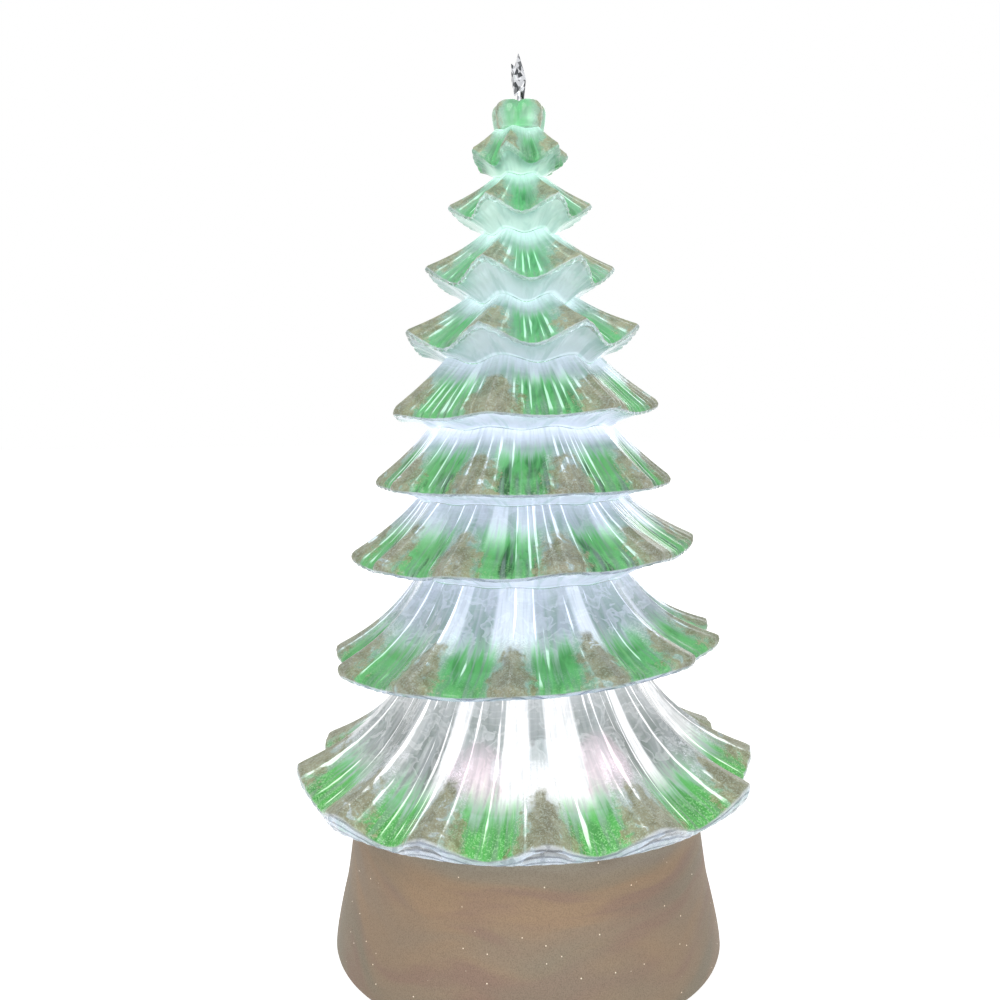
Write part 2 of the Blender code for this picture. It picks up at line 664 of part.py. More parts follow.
def make_lamp(white, green, chip, lens_finish, group):
    flange_bottom = base_height + seat_gap
    flange_top = flange_bottom + reflector_wall
    floor_top = flange_top - reflector_depth
    floor_bottom = floor_top - reflector_wall
    cup = [(reflector_flange_radius, flange_top), (reflector_flange_radius, flange_bottom),
           (reflector_mouth_radius + reflector_wall, flange_bottom),
           (reflector_floor_radius + reflector_wall, floor_bottom),
           (reflector_floor_radius, floor_bottom), (reflector_mouth_radius, flange_top)]
    turned("led_reflector", cup, white, group, lamp_steps, closed=True)
    board_top = floor_bottom - seat_gap
    rod("led_board", led_board_radius, board_top - board_thickness, board_top, (0.0, 0.0), green, group,
        steps=lamp_steps)
    for index in range(led_count):
        across, along = around(led_circle_radius, full_turn * index / led_count)
        place = (across, along, board_top + seat_gap + led_height / 2)
        led = box(f"led_{index + 1}", (led_side, led_side, led_height), place, chip, group, bevel=seat_gap)
        led.rotation_euler.z = full_turn * index / led_count
    rim_bottom = flange_top + seat_gap
    dome = [(0.0, rim_bottom + lens_rim + lens_rise)]
    for step in range(1, 6):
        bend = math.pi / 2 * step / 5
        dome.append((lens_radius * math.sin(bend), rim_bottom + lens_rim + lens_rise * math.cos(bend)))
    dome += [(lens_radius, rim_bottom), (0.0, rim_bottom)]
    turned("led_lens", dome, lens_finish, group, lamp_steps)
    return board_top - board_thickness


def make_lead(name, side, start_height, end_height, finish, group):
    # A short lead from the control board up to the underside of the lamp board.
    line = bpy.data.curves.new(name, "CURVE")
    line.dimensions = "3D"
    line.bevel_depth = lead_radius
    line.bevel_resolution = 1
    line.use_fill_caps = True
    start = Vector((side * lead_spacing, switch_centre_y, start_height + seat_gap))
    end = Vector((side * lead_spacing, -led_board_radius / 2, end_height - seat_gap))
    rise = end.z - start.z
    points = []
    for step in range(lead_points):
        share = step / (lead_points - 1)
        swing = (1 - math.cos(math.pi * share)) / 2
        points.append(Vector((start.x, start.y + (end.y - start.y) * swing, start.z + rise * share)))
    spline = line.splines.new("POLY")
    spline.points.add(len(points) - 1)
    for target, point in zip(spline.points, points):
        target.co = (*point, 1.0)
    item = bpy.data.objects.new(name, line)
    group.objects.link(item)
    line.materials.append(finish)
    return item


def make_floor(finish, group, cutters):
    # The clear plate bonded in the foot of the lowest tier.
    crests = spread_crests(tiers[-1]["crests"], tiers[-1]["count"])
    radius = foot_neck_radius * math.cos(widest_gap(crests) / 2) - acrylic_wall - seat_gap
    bottom = base_height + seat_gap
    profile = [(radius, bottom + floor_thickness), (radius, bottom),
               (floor_hole_radius, bottom), (floor_hole_radius, bottom + floor_thickness)]
    floor = turned("tree_floor_plate", profile, finish, group, 28, closed=True)
    for index in range(tree_screw_count):
        place = around(tree_screw_circle_radius, tree_screw_turn + full_turn * index / tree_screw_count)
        hole = rod(f"floor_hole_{index}", screw_shank_radius + bore_play, bottom - cut_overrun,
                   base_height - base_wall + tree_screw_length, place, None, cutters, steps=8)
        boolean(floor, as_cutter(hole), "DIFFERENCE")
    return floor


def build():
    clear_scene()
    parts = make_collection("lighted_acrylic_tree")
    cutters = make_collection("cutters")
    acrylic = make_finish("clear moulded acrylic", (0.80, 0.93, 0.86), 0.06, clear=0.9)
    painted = make_finish("painted base housing", (0.34, 0.26, 0.19), 0.75)
    chrome = make_finish("metallised star", (0.62, 0.63, 0.65), 0.12, metallic=1.0)
    black = make_finish("black moulded plastic", (0.03, 0.03, 0.03), 0.5)
    white = make_finish("white moulded plastic", (0.85, 0.85, 0.83), 0.35)
    green = make_finish("green circuit board", (0.03, 0.20, 0.08), 0.4)
    steel = make_finish("plated steel", (0.60, 0.60, 0.62), 0.25, metallic=1.0)
    jacket = make_finish("printed cell jacket", (0.10, 0.12, 0.16), 0.35)
    felt = make_finish("soft foot pad", (0.06, 0.06, 0.06), 0.9)
    red = make_finish("red lead", (0.55, 0.03, 0.02), 0.45)

    make_base(painted, parts, cutters)
    make_plate(black, parts, cutters)
    make_tray(black, parts, cutters)
    make_door(black, parts, cutters)
    for index in range(cell_count):
        make_cell(index, jacket, parts)
    make_contact("positive_contact", (0,), False, steel, parts, cutters)
    make_contact("front_link_contact", (1, 2), False, steel, parts, cutters)
    make_contact("back_link_contact", (0, 1), True, steel, parts, cutters)
    make_contact("negative_contact", (2,), True, steel, parts, cutters)
    for index in range(boss_count):
        place = around(boss_circle_radius, full_turn * (index + 0.5) / boss_count)
        head_bottom = plate_bottom - seat_gap - screw_head_height
        make_screw(f"plate_screw_{index + 1}", head_bottom, screw_length, place, steel, parts, cutters)
    for index in range(foot_count):
        place = around(foot_circle_radius, full_turn * index / foot_count)
        rod(f"foot_{index + 1}", foot_radius, 0.0, plate_bottom - seat_gap, place, felt, parts)

    lead_start = make_switch(black, white, green, parts, cutters)
    lead_end = make_lamp(white, green, chrome, white, parts)
    make_lead("positive_lead", 1, lead_start, lead_end, red, parts)
    make_lead("negative_lead", -1, lead_start, lead_end, black, parts)

    make_floor(acrylic, parts, cutters)
    for index in range(tree_screw_count):
        place = around(tree_screw_circle_radius, tree_screw_turn + full_turn * index / tree_screw_count)
        head_bottom = base_height - base_wall - seat_gap - screw_head_height
        make_screw(f"tree_screw_{index + 1}", head_bottom, tree_screw_length, place, steel, parts, cutters)

    top = base_height + sum(row["height"] for row in tiers)
    for index, row in enumerate(tiers):
        below = tiers[index + 1] if index + 1 < len(tiers) else None
        make_tier(row, below, top, acrylic, parts)
        top -= row["height"]
    crown_bottom = base_height + sum(row["height"] for row in tiers) + seat_gap
    make_crown(crown_bottom, acrylic, parts)
    star_centre = crown_bottom + crown_height + star_lift
    stem_bottom = crown_bottom + crown_height * crown_dip_share - stem_depth
    make_star(star_centre, stem_bottom, chrome, parts, cutters)


build()
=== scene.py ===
import math
import random
from functools import partial

import bmesh
import bpy
from mathutils import Matrix, Vector, noise


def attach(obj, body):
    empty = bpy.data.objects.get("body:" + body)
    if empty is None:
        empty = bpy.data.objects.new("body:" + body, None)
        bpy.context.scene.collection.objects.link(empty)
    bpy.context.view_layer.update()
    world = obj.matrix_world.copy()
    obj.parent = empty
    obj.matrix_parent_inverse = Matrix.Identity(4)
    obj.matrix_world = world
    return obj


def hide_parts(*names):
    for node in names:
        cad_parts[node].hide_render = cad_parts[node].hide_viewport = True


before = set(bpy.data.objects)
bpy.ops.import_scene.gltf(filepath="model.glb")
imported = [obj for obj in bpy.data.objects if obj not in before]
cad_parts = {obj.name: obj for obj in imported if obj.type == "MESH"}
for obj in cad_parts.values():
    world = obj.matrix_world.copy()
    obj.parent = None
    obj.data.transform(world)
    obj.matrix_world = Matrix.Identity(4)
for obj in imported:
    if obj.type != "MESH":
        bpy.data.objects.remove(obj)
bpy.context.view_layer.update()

mm = 0.001
fullTurn = math.tau


# Colours and nodes

def hexColour(code):
    # sRGB hex to the linear values that the sockets take
    channels = [int(code[index:index + 2], 16) / 255 for index in (1, 3, 5)]
    linear = [value / 12.92 if value <= 0.04045 else ((value + 0.055) / 1.055) ** 2.4 for value in channels]
    return (*linear, 1.0)


def addNode(tree, kind, inputs=(), out=0, **settings):
    # Inputs are values or other nodes' outputs, by place or by name; the node's chosen output comes back
    node = tree.nodes.new("ShaderNode" + kind)
    for name, value in settings.items():
        setattr(node, name, value)
    for name, value in inputs.items() if isinstance(inputs, dict) else enumerate(inputs):
        if isinstance(value, bpy.types.NodeSocket):
            tree.links.new(value, node.inputs[name])
        else:
            node.inputs[name].default_value = value
    return node.outputs[out] if node.outputs else None


# Settings that many nodes share
soft = {"interpolation_type": "SMOOTHSTEP"}
colours = {"data_type": "RGBA", "out": 2}
subtract = {"operation": "SUBTRACT"}
multiplyAdd = {"operation": "MULTIPLY_ADD"}


def startMaterial(name):
    material = bpy.data.materials.new(name)
    material.use_nodes = True
    material.node_tree.nodes.clear()
    return material, partial(addNode, material.node_tree)


# What the points of the tiers and the crown carry for the acrylic. reach is 0 at the neck, 1 at the rim,
# 2 to 3 under the tier and 4 in the hollow; crestNear is 1 on a crest; glare is 1 on a shiny ridge and
# falls off to one side; tone shifts the paint from crest to crest; level is 0 for the top tier and 1 for
# the lowest; lampGlow is how strongly the lamp shows, blush how pink it is there.
pieceLabels = ("reach", "crestNear", "glare", "tone", "level", "inside", "lampGlow", "blush")


# Painted acrylic: injection-moulded clear acrylic, polished, with green lacquer sprayed into the fans
# and gold dabbed on the corners. It is lit from below, and that light is painted into it as a glow: the necks
# and ridges glow white, the lacquer glows green with dark streaks, partly painted shade, and the gold stays
# matt and opaque inside a frosted, glittering edge.
acrylicFinish = {
    # Each paint's colours in the order of its coats: down the tree from its top, then shades and specks
    # After the clear tints come those of painted shade, the grey-green side of each clear flute away from the
    # light
    "clear": ("#BFE2D8", "#C5CFDB", "#B3BABB"), "paintedShade": ("#93C2AE", "#8DB09F", "#7C8C85"),
    "glow": ("#D8FFF0", "#E2E7FA", "#FFFBFD", "#F0D3DF"),
    "green": ("#66C47E", "#5AB463", "#48A945", "#0C4A1B", "#97C7A8", "#8CD683"),
    "gold": ("#A9A07A", "#948F70", "#6E6846", "#AEB59B"),
    "frost": ("#BDD0C6", "#CDD1DA"), "frostShade": ("#97AFA2", "#9DA4A8"),
    "under": ("#C4DED2", "#C6D2D8", "#CDD4E4", "#8CAFA9"), "rim": ("#DDE3E8", "#6B7280"),
    "ior": 1.49, "roughness": 0.05, "clearness": 0.5,
    "streakWidth": 1.3 * mm, "streakLength": 16 * mm, "flickerWidth": 3.2 * mm, "flickerLength": 16 * mm,
    "shadeWidth": 7 * mm, "shadeLength": 24 * mm, "dabGrain": 3.6 * mm, "blotchGrain": 5.5 * mm,
    "glitterGrain": 0.38 * mm, "arcSpacing": 2.1 * mm,
    "lampGlow": 0.7, "lineGlow": 0.68, "waterGlow": 0.1, "seamGlow": 0.3, "greenGlow": 0.09,
    "lowGreenGlow": 0.16, "frostGlow": 0.08, "sparkGlow": 0.14, "underGlow": 0.28, "topUnderGlow": 0.12,
    "lowUnderGlow": 0.1, "housingGlow": 0.15, "rimGlow": 0.05, "topRimGlow": 0.22, "insideGlow": 0.08,
    "bodyGlow": 0.04,
}


def paintedAcrylic(name, finish):
    material, add = startMaterial(name)
    reach, crestNear, glare, tone, level, inside, lampGlow, blush = [
        add("Attribute", out="Fac", attribute_name=label) for label in pieceLabels]
    plan, place = add("UVMap", uv_map="BranchPlan"), add("TexCoord", out="Object")

    # Patterns at their real grain: streaks, flickers and shades run along the flutes
    brushed = []
    for label, detail, bend in (("streak", 3, 0), ("flicker", 2, 0), ("shade", 4, 1.2)):
        laid = add("Mapping", {"Vector": plan, "Scale": (
            1 / finish[label + "Width"], 1 / finish[label + "Length"], 1)})
        brushed.append(add("TexNoise", {"Vector": laid, "Scale": 1, "Detail": detail, "Distortion": bend}))
    streak, flicker, shade = brushed
    dabs = add("TexNoise", {"Vector": place, "Scale": 1 / finish["dabGrain"], "Detail": 4, "Roughness": 0.62})
    blotch = add("TexNoise", {"Vector": place, "Scale": 1 / finish["blotchGrain"], "Detail": 3,
                              "Distortion": 0.8})
    speck = add("TexVoronoi", {"Vector": place, "Scale": 1 / finish["glitterGrain"]}, "Color")
    speck = add("SeparateColor", (speck,))
    arcs = add("TexWave", {"Vector": plan, "Scale": 0.314 / finish["arcSpacing"], "Distortion": 6,
                           "Detail": 2, "Detail Scale": 0.6}, bands_direction="Y")

    # Gold starts narrow on a crest and widens to the rim; noise tears its edge and leaves holes in it
    overCrest = add("MapRange", (level, 0.88, 1, add("MapRange", (level, 0.4, 0.5, 0.07, -0.08)), 0.07))
    overEdge = add("Math", (crestNear, overCrest, reach), **multiplyAdd)
    overRim = add("Math", (overEdge, add("MapRange", (level, 0, 0.12, 1.15, 0))), **subtract)
    start = add("MapRange", (level, 0.75, 1, add("MapRange", (level, 0, 0.75, 0.2, 0.28)), 0.48))
    start = add("Math", (tone, 0.14, start), **multiplyAdd)
    beyond = add("Math", (reach, start), **subtract)
    widening = add("MapRange", (beyond, 0, 0.35, 0, add("MapRange", (level, 0.88, 1, 0.44, 0.56))))
    slots = add("MapRange", (level, 0.7, 1, 0, glare))
    goldField = -1.9
    for share, amount in ((crestNear, 1.25), (widening, 1), (dabs, 1.3), (streak, 0.45), (speck, 0.14),
                          (slots, -0.42)):
        goldField = add("Math", (share, amount, goldField), **multiplyAdd)
    softEdge = add("MapRange", (level, 0.1, 0.55, 0.42, 0.26), **soft)
    goldOn = add("MapRange", (level, 0.1, 0.55, 0.86, 0.92), **soft)
    goldOn = add("MapRange", (speck, 0, 1, goldOn, add("Math", (goldOn, 0.75), operation="MULTIPLY")))
    goldOn = add("MapRange", (blotch, 0.62, 0.68, goldOn, 0.1), **soft)
    goldOn = add("MapRange", (overEdge, 1.05, 1.11, goldOn, 0), **soft)
    goldOn = add("MapRange", (beyond, -0.05, 0.04, 0, goldOn), **soft)
    goldOn = add("MapRange", (goldField, 0, softEdge, 0, goldOn), **soft)

    # Green lacquer fades towards the neck and thins out on the crests
    bare = add("MapRange", (level, 0.75, 1, add("MapRange", (level, 0, 0.5, 0.14, 0.18)), 0.44))
    sprayed = add("Math", (reach, bare), **subtract)
    sprayed = add("Math", (streak, 0.45, sprayed), **multiplyAdd)
    greenOn = add("MapRange", (streak, 0.34, 0.56, 0.82, 1), **soft)
    fanWidth = add("MapRange", (level, 0.3, 0.5, 0.1, 0.45))
    greenOn = add("MapRange", (crestNear, fanWidth, 0.9, greenOn, 0.25), **soft)
    greenOn = add("MapRange", (overRim, 1.04, 1.12, greenOn, 0), **soft)
    greenOn = add("MapRange", (sprayed, 0.18, 0.46, 0, greenOn), **soft)

    # The frosted, glittering fringe beside the gold
    frostOn = add("MapRange", (dabs, 0.34, 0.56, 0.2, 0.75), **soft)
    frostOn = add("MapRange", (speck, 0, 0.9, add("Math", (frostOn, 0.45), operation="MULTIPLY"), frostOn))
    frostOn = add("MapRange", (overRim, 1.06, 1.11, frostOn, 0), **soft)
    frostOn = add("MapRange", (reach, 0.28, 0.46, 0, frostOn), **soft)
    frostOn = add("MapRange", (goldField, -0.34, -0.02, 0, frostOn), **soft)
    frostOn = add("MapRange", (crestNear, 0.38, 0.72, 0, frostOn), **soft)
    frostOn = add("MapRange", (goldOn, 0, 1, frostOn, 0.06))

    # The clear parts of the section: rim, underside, and the ridges that catch the lamp
    rimOn = add("MapRange", (reach, 1.22, 1.7, 1, 0), **soft)
    rimOn = add("MapRange", (overRim, 1.04, 1.11, 0, rimOn), **soft)
    underOn = add("MapRange", (inside, 0, 0.5, 1, 0))
    underOn = add("MapRange", (overRim, 1.22, 1.8, 0, underOn), **soft)
    flareOn = add("MapRange", (reach, 1, 1.1, 1, 0), **soft)
    lineStart = add("MapRange", (level, 0.5, 0.8, 0.3, -0.4), **soft)
    lineOn = add("MapRange", (add("Math", (reach, lineStart), **subtract), 0, 0.25, 0, flareOn), **soft)
    lineOn = add("MapRange", (reach, 0.9, 1, lineOn, 0), **soft)
    lineOn = add("MapRange", (goldOn, 0, 1, lineOn, 0))
    flickering = add("Math", (flicker, 1.6, glare), **multiplyAdd)
    lineOn = add("MapRange", (flickering, 1.36, 1.56, 0, lineOn), **soft)
    barOn = add("MapRange", (streak, 0.34, 0.56, 0.7, 1), **soft)
    barOn = add("MapRange", (goldOn, 0, 1, barOn, 0))
    barOn = add("MapRange", (lampGlow, 0, 1, 0, barOn))
    # Painted caustics: watery patches of light with a bright curved edge, in the inner part of the lower
    # tiers' flares
    causticOn = add("MapRange", (blotch, 0.54, 0.66, 1, 0.15), **soft)
    causticOn = add("MapRange", (blotch, 0.5, 0.54, 0, causticOn), **soft)
    causticOn = add("MapRange", (level, 0.6, 0.9, 0, causticOn), **soft)
    causticOn = add("MapRange", (reach, 0.45, 0.7, causticOn, 0), **soft)
    arcOn = add("MapRange", (reach, 0.04, 0.34, 0.5, 0), **soft)
    arcOn = add("MapRange", (arcs, 0.72, 1, 0, arcOn), **soft)

    # Where each coat shows over the one below it
    high, low = add("MapRange", (level, 0.05, 0.6), **soft), add("MapRange", (level, 0.85, 1), **soft)
    lower = add("MapRange", (level, 0.4, 0.52), **soft)
    # A pink patch in the painted glow of the lowest tier, where the lit deck shows through the acrylic
    patchOn = add("MapRange", (lampGlow, 0.96, 1.05, low, 0), **soft)
    patchOn = add("MapRange", (blush, 0.15, 0.35, 0, patchOn), **soft)
    # Painted shade on the clear flutes: mottled grey-green on the side of each flute away from its lit ridge,
    # cleared where the lamp shines or caustics fall
    paintedShadeOn = add("MapRange", (shade, 0.4, 0.6, 0.05, 0.85), **soft)
    paintedShadeOn = add("MapRange", (glare, 0.1, 0.75, paintedShadeOn, 0), **soft)
    paintedShadeOn = add("MapRange", (lampGlow, 0, 0.7, paintedShadeOn, 0), **soft)
    paintedShadeOn = add("MapRange", (causticOn, 0, 1, paintedShadeOn, 0.1))
    darkest = add("MapRange", (level, 0.45, 0.65, 0.5, 0.9), **soft)
    darkest = add("MapRange", (level, 0.78, 0.87, darkest, 0.4), **soft)
    # The darker green: partly streaks in the lacquer, partly painted shade on the side of each flute away
    # from its lit ridge, more towards the rim
    greenStreakAndShade = add("MapRange", (streak, 0.34, 0.56, 0.45, 0), **soft)
    greenStreakAndShade = add("MapRange", (shade, 0.4, 0.52, darkest, greenStreakAndShade), **soft)
    greenStreakAndShade = add("MapRange", (reach, 0.25, 0.65, 0, greenStreakAndShade), **soft)
    greenStreakAndShade = add("MapRange", (glare, 0.05, 0.7, greenStreakAndShade, 0), **soft)
    # Painted highlights: lime glints in the green lacquer towards the rim, stronger on the lower tiers
    limeHighlight = add("MapRange", (reach, 0.65, 0.9, 0, add("MapRange", (low, 0, 1, 0.25, 0.75))), **soft)
    limeHighlight = add("MapRange", (speck, 0.55, 0.95, 0, limeHighlight), **soft)
    # Painted shade under the rim: mottled, in the fans rather than on the crests, and fading out towards the
    # seam
    underShade = add("MapRange", (blotch, 0.3, 0.7, 0.45, 0.95))
    underShade = add("MapRange", (reach, 2, 2.75, underShade, 0), **soft)
    underShade = add("MapRange", (crestNear, 0.35, 0.8, underShade, 0), **soft)
    shaded = add("MapRange", (shade, 0.36, 0.5, 0.45, 0), **soft)
    underShade = add("Math", (underShade, shaded), operation="MAXIMUM")
    # Painted shade in the clear rim: dark bands along it and dark blotches, stronger on the lower tiers
    rimShade = add("MapRange", (arcs, 0.1, 0.42, add("MapRange", (level, 0.4, 0.9, 0.25, 0.85)), 0), **soft)
    shaded = add("MapRange", (blotch, 0.36, 0.46, add("MapRange", (low, 0, 1, 0.1, 0.6)), 0), **soft)
    rimShade = add("Math", (rimShade, shaded), operation="MAXIMUM")

    # The clear parts are tinted mint at the top, lavender in the middle and a cool white at the foot, and the
    # paints grow paler towards the top, partly the glow inside painted into them
    mixed = []
    for paint, coats in (
            ("clear", (high, low)), ("paintedShade", (high, low)), ("glow", (high, low, patchOn)),
            ("green", (add("MapRange", (level, 0.25, 0.6), **soft), low, greenStreakAndShade,
                       add("MapRange", (sprayed, 0.34, 0.56, 0.8, 0), **soft), limeHighlight)),
            ("gold", (add("MapRange", (level, 0.3, 0.6), **soft),
                      add("MapRange", (blotch, 0.38, 0.6, 0.85, 0), **soft),
                      add("MapRange", (speck, 0.55, 1, 0, 0.45), **soft))),
            ("frost", (low,)), ("frostShade", (low,)), ("rim", (rimShade,)),
            ("under", (add("MapRange", (level, 0, 0.3), **soft), lower, underShade))):
        colour, *over = [hexColour(code) for code in finish[paint]]
        for share, coat in zip(coats, over):
            colour = add("Mix", {0: share, 6: colour, 7: coat}, **colours)
        mixed.append(colour)
    clear, paintedShade, glow, green, gold, frost, frostShade, rim, under = mixed
    grains = add("MapRange", (speck, 0.3, 0.6, 1, 0), **soft)
    frost = add("Mix", {0: grains, 6: frost, 7: frostShade}, **colours)
    colour = add("Mix", {0: paintedShadeOn, 6: clear, 7: paintedShade}, **colours)
    for share, coat in ((greenOn, green), (frostOn, frost), (goldOn, gold), (rimOn, rim), (underOn, under)):
        colour = add("Mix", {0: share, 6: colour, 7: coat}, **colours)

    # The lamp's light as it leaves the surface, painted on as a glow of the acrylic itself
    painted = add("Math", (greenOn, goldOn), operation="MAXIMUM")
    painted = add("MapRange", (lineOn, 0, 1, painted, add("Math", (painted, 0.3), operation="MULTIPLY")))
    painted = add("MapRange", (barOn, 0, 0.8, painted, 0))
    painted = add("Math", (painted, add("Math", (underOn, rimOn))), operation="MAXIMUM")
    glow = add("Mix", {0: painted, 6: glow, 7: colour}, **colours)
    # Painted glints where the glitter of the frosted fringe catches the light
    sparkOn = add("MapRange", (speck, 0.86, 0.94, 0, frostOn), **soft)
    strength = finish["bodyGlow"]
    topRimOn = add("MapRange", (level, 0.35, 0.7, rimOn, 0))
    topRimOn = add("MapRange", (blotch, 0.4, 0.55, 0.15, topRimOn), **soft)
    topRimOn = add("MapRange", (rimOn, 0, 1, 0, topRimOn))
    topUnderOn = add("MapRange", (level, 0.15, 0.4, underOn, 0), **soft)
    seamOn = add("MapRange", (reach, 2.9, 2.97, 0, underOn), **soft)
    lowUnderOn = add("MapRange", (lower, 0, 1, 0, underOn))
    overHousingOn = add("MapRange", (low, 0, 1, 0, underOn))
    overHousingOn = add("MapRange", (reach, 2, 2.9, 0, overHousingOn), **soft)
    lowGreenOn = add("MapRange", (low, 0, 1, 0, greenOn))
    for share, amount in (
            (barOn, "lampGlow"), (lineOn, "lineGlow"), (greenOn, "greenGlow"), (frostOn, "frostGlow"),
            (sparkOn, "sparkGlow"), (arcOn, "rimGlow"), (causticOn, "waterGlow"), (rimOn, "rimGlow"),
            (topRimOn, "topRimGlow"), (underOn, "underGlow"), (topUnderOn, "topUnderGlow"),
            (lowUnderOn, "lowUnderGlow"), (overHousingOn, "housingGlow"), (lowGreenOn, "lowGreenGlow"),
            (seamOn, "seamGlow"), (inside, "insideGlow")):
        strength = add("Math", (share, finish[amount], strength), **multiplyAdd)

    see, rough = finish["clearness"], finish["roughness"]
    for share, clearness, dullness in ((underOn, 0.25, 0.16), (rimOn, 0.92, 0.02), (frostOn, 0.25, 0.38),
                                       (greenOn, 0.25, 0.1), (goldOn, 0, 0.42)):
        see = add("MapRange", (share, 0, 1, see, clearness))
        rough = add("MapRange", (share, 0, 1, rough, dullness))

    # Dabs stand a little proud, glitter catches light in grains, and the moulded flutes are finely ribbed
    relief = 0
    for grain, share, amount in ((speck, frostOn, 0.35), (dabs, goldOn, 0.3), (streak, flareOn, 0.15),
                                 (blotch, flareOn, 0.5), (1, goldOn, 0.5), (1, arcOn, 0.6)):
        relief = add("Math", (add("MapRange", (grain, 0, 1, 0, share)), amount, relief), **multiplyAdd)
    bump = add("Bump", {"Height": relief, "Strength": 0.6, "Distance": 0.3 * mm})
    surface = add("BsdfPrincipled", {
        "Base Color": colour, "Roughness": rough, "IOR": finish["ior"], "Transmission Weight": see,
        "Emission Color": glow, "Emission Strength": strength, "Normal": bump})
    add("OutputMaterial", (surface,))
    return material


# Branch tiers

# The rings branch_tier_1 to 9 from the top down, in the sizes of the solids they stand for. A crest is a
# ridge that ends in a corner, a fan the fluted valley between two. tip and fan each hold a radius, a drop
# from the seam and the height of the rim's face. crests are degrees to the right of the front, and those
# missing from the count are spread over the back. sweep hollows the flare, round softens the corners, and
# lean tips the ring sideways in mm. bars are the columns where the lamp shines through: degrees, half width
# and strength. glows and the pinker blushes are soft patches of it: degrees, half width, place and half
# height in reach, and strength.
branchTiers = (
    {"height": 15.3, "neck": 8.6, "sweep": 0.1, "round": 0.5, "tip": (17.2, 6.6, 1.8),
     "fan": (13.8, 11.1, 1.5), "lean": 0, "crests": (-66, -14.5, 50, 104), "count": 6, "flute": 2.4,
     "shines": (0.1, 0.3, 0.5), "seamWave": 0.3, "teeth": 0.4, "neckGlow": 0.55},
    {"height": 19, "neck": 8.9, "sweep": 0.15, "round": 0.45, "tip": (24.4, 8.6, 1.9),
     "fan": (19.6, 13.4, 1.6), "lean": 0, "crests": (-88, -27.3, 31.9, 92), "count": 6, "flute": 2.8,
     "shines": (0.2, 0.5, 0.8), "seamWave": 0.4, "teeth": 0.5, "neckGlow": 0.6},
    {"height": 22.4, "neck": 13, "sweep": 0.2, "round": 0.45, "tip": (32.6, 10.2, 2),
     "fan": (27, 16.4, 1.7), "lean": 0, "crests": (-82, -21.6, 36.3, 97), "count": 6, "flute": 3.2,
     "shines": (0.2, 0.5, 0.8, 1), "seamWave": 0.8, "teeth": 0.8, "neckGlow": 0.7},
    {"height": 20, "neck": 19.4, "sweep": 0.1, "round": 0.45, "tip": (40.2, 8.8, 2.2),
     "fan": (35, 15, 1.8), "lean": 0.7, "crests": (-72, -19, 31, 80), "count": 7, "flute": 3.4,
     "shines": (0.2, 0.5, 0.8, 1), "seamWave": 1.4, "teeth": 0.8, "neckGlow": 0.65},
    {"height": 22.1, "neck": 27.6, "sweep": 0.05, "round": 0.25, "tip": (46.6, 14.4, 2.6),
     "fan": (42, 17.2, 1.8), "lean": 0.8, "crests": (-64, -13.4, 38.4, 88), "count": 7,
     "flute": 3.4, "shines": (0.35, 0.8, 1, 1), "seamWave": 1.3, "teeth": 0.5, "neckGlow": 0.5,
     "bars": ((-31, 4, 0.5), (8, 3, 0.4), (24, 3, 0.4))},
    {"height": 24, "neck": 31.8, "sweep": 0.12, "round": 0.35, "tip": (50.8, 17.2, 2.6),
     "fan": (46.4, 18.8, 1.9), "lean": 0, "crests": (-88, -55.8, -19.2, 19.2, 53.5, 88), "count": 10,
     "flute": 3.4, "shines": (0.15, 0.35, 0.6, 0.9), "seamWave": 0.6, "teeth": 0.3, "neckGlow": 1,
     "bars": ((-8, 5, 0.3), (30, 5, 0.3))},
    {"height": 26, "neck": 36.8, "sweep": 0.22, "round": 0.5, "tip": (59.4, 15.6, 3.4),
     "fan": (54.6, 18.8, 2), "lean": 2, "crests": (-80, -51.3, -23.4, 12.7, 46.5, 92), "count": 11,
     "flute": 3.8, "shines": (0.1, 0.3, 0.5, 0.7, 1), "seamWave": 0.3, "teeth": 0.3, "neckGlow": 0.35,
     "bars": ((-43, 5, 0.35), (-11, 4, 0.6), (1, 3.5, 0.45), (37, 3.5, 0.55))},
    {"height": 33, "neck": 36.6, "sweep": 0.44, "round": 0.7, "tip": (67, 22.8, 4.2),
     "fan": (62.4, 26.2, 2.1), "lean": 3.6, "crests": (-65, -32, -4, 23, 50.4, 76, 100), "count": 13,
     "flute": 4.6, "shines": (0.1, 0.2, 0.4, 0.6, 0.8, 1), "seamWave": 0.3, "teeth": 0.1, "neckGlow": 0.3,
     "bars": ((-29, 3.5, 0.6), (-4, 9, 0.65), (25, 4, 0.75), (60, 3, 0.4))},
    {"height": 43.2, "neck": 40.4, "sweep": 0.46, "round": 0.9, "tip": (80, 31.2, 6.6),
     "fan": (74.6, 37.2, 2.4), "lean": 1.2, "crests": (-84, -46, -22, 4, 29, 62, 92), "count": 13, "flute": 5,
     "shines": (0.1, 0.2, 0.4, 0.6, 0.8, 1), "seamWave": 0.3, "teeth": 0, "neckGlow": 0.35,
     "glows": ((4.5, 12.5, 0.5, 0.15, 1.1),),
     "blushes": ((25.5, 8, 0.4, 0.17, 0.95), (-15, 7.5, 0.42, 0.17, 0.95)),
     "bars": ((-45, 3, 0.35), (-26, 4, 1.1), (-3.5, 4.8, 1.5), (14, 6.5, 1.5), (44.5, 2.5, 1.1))},
)
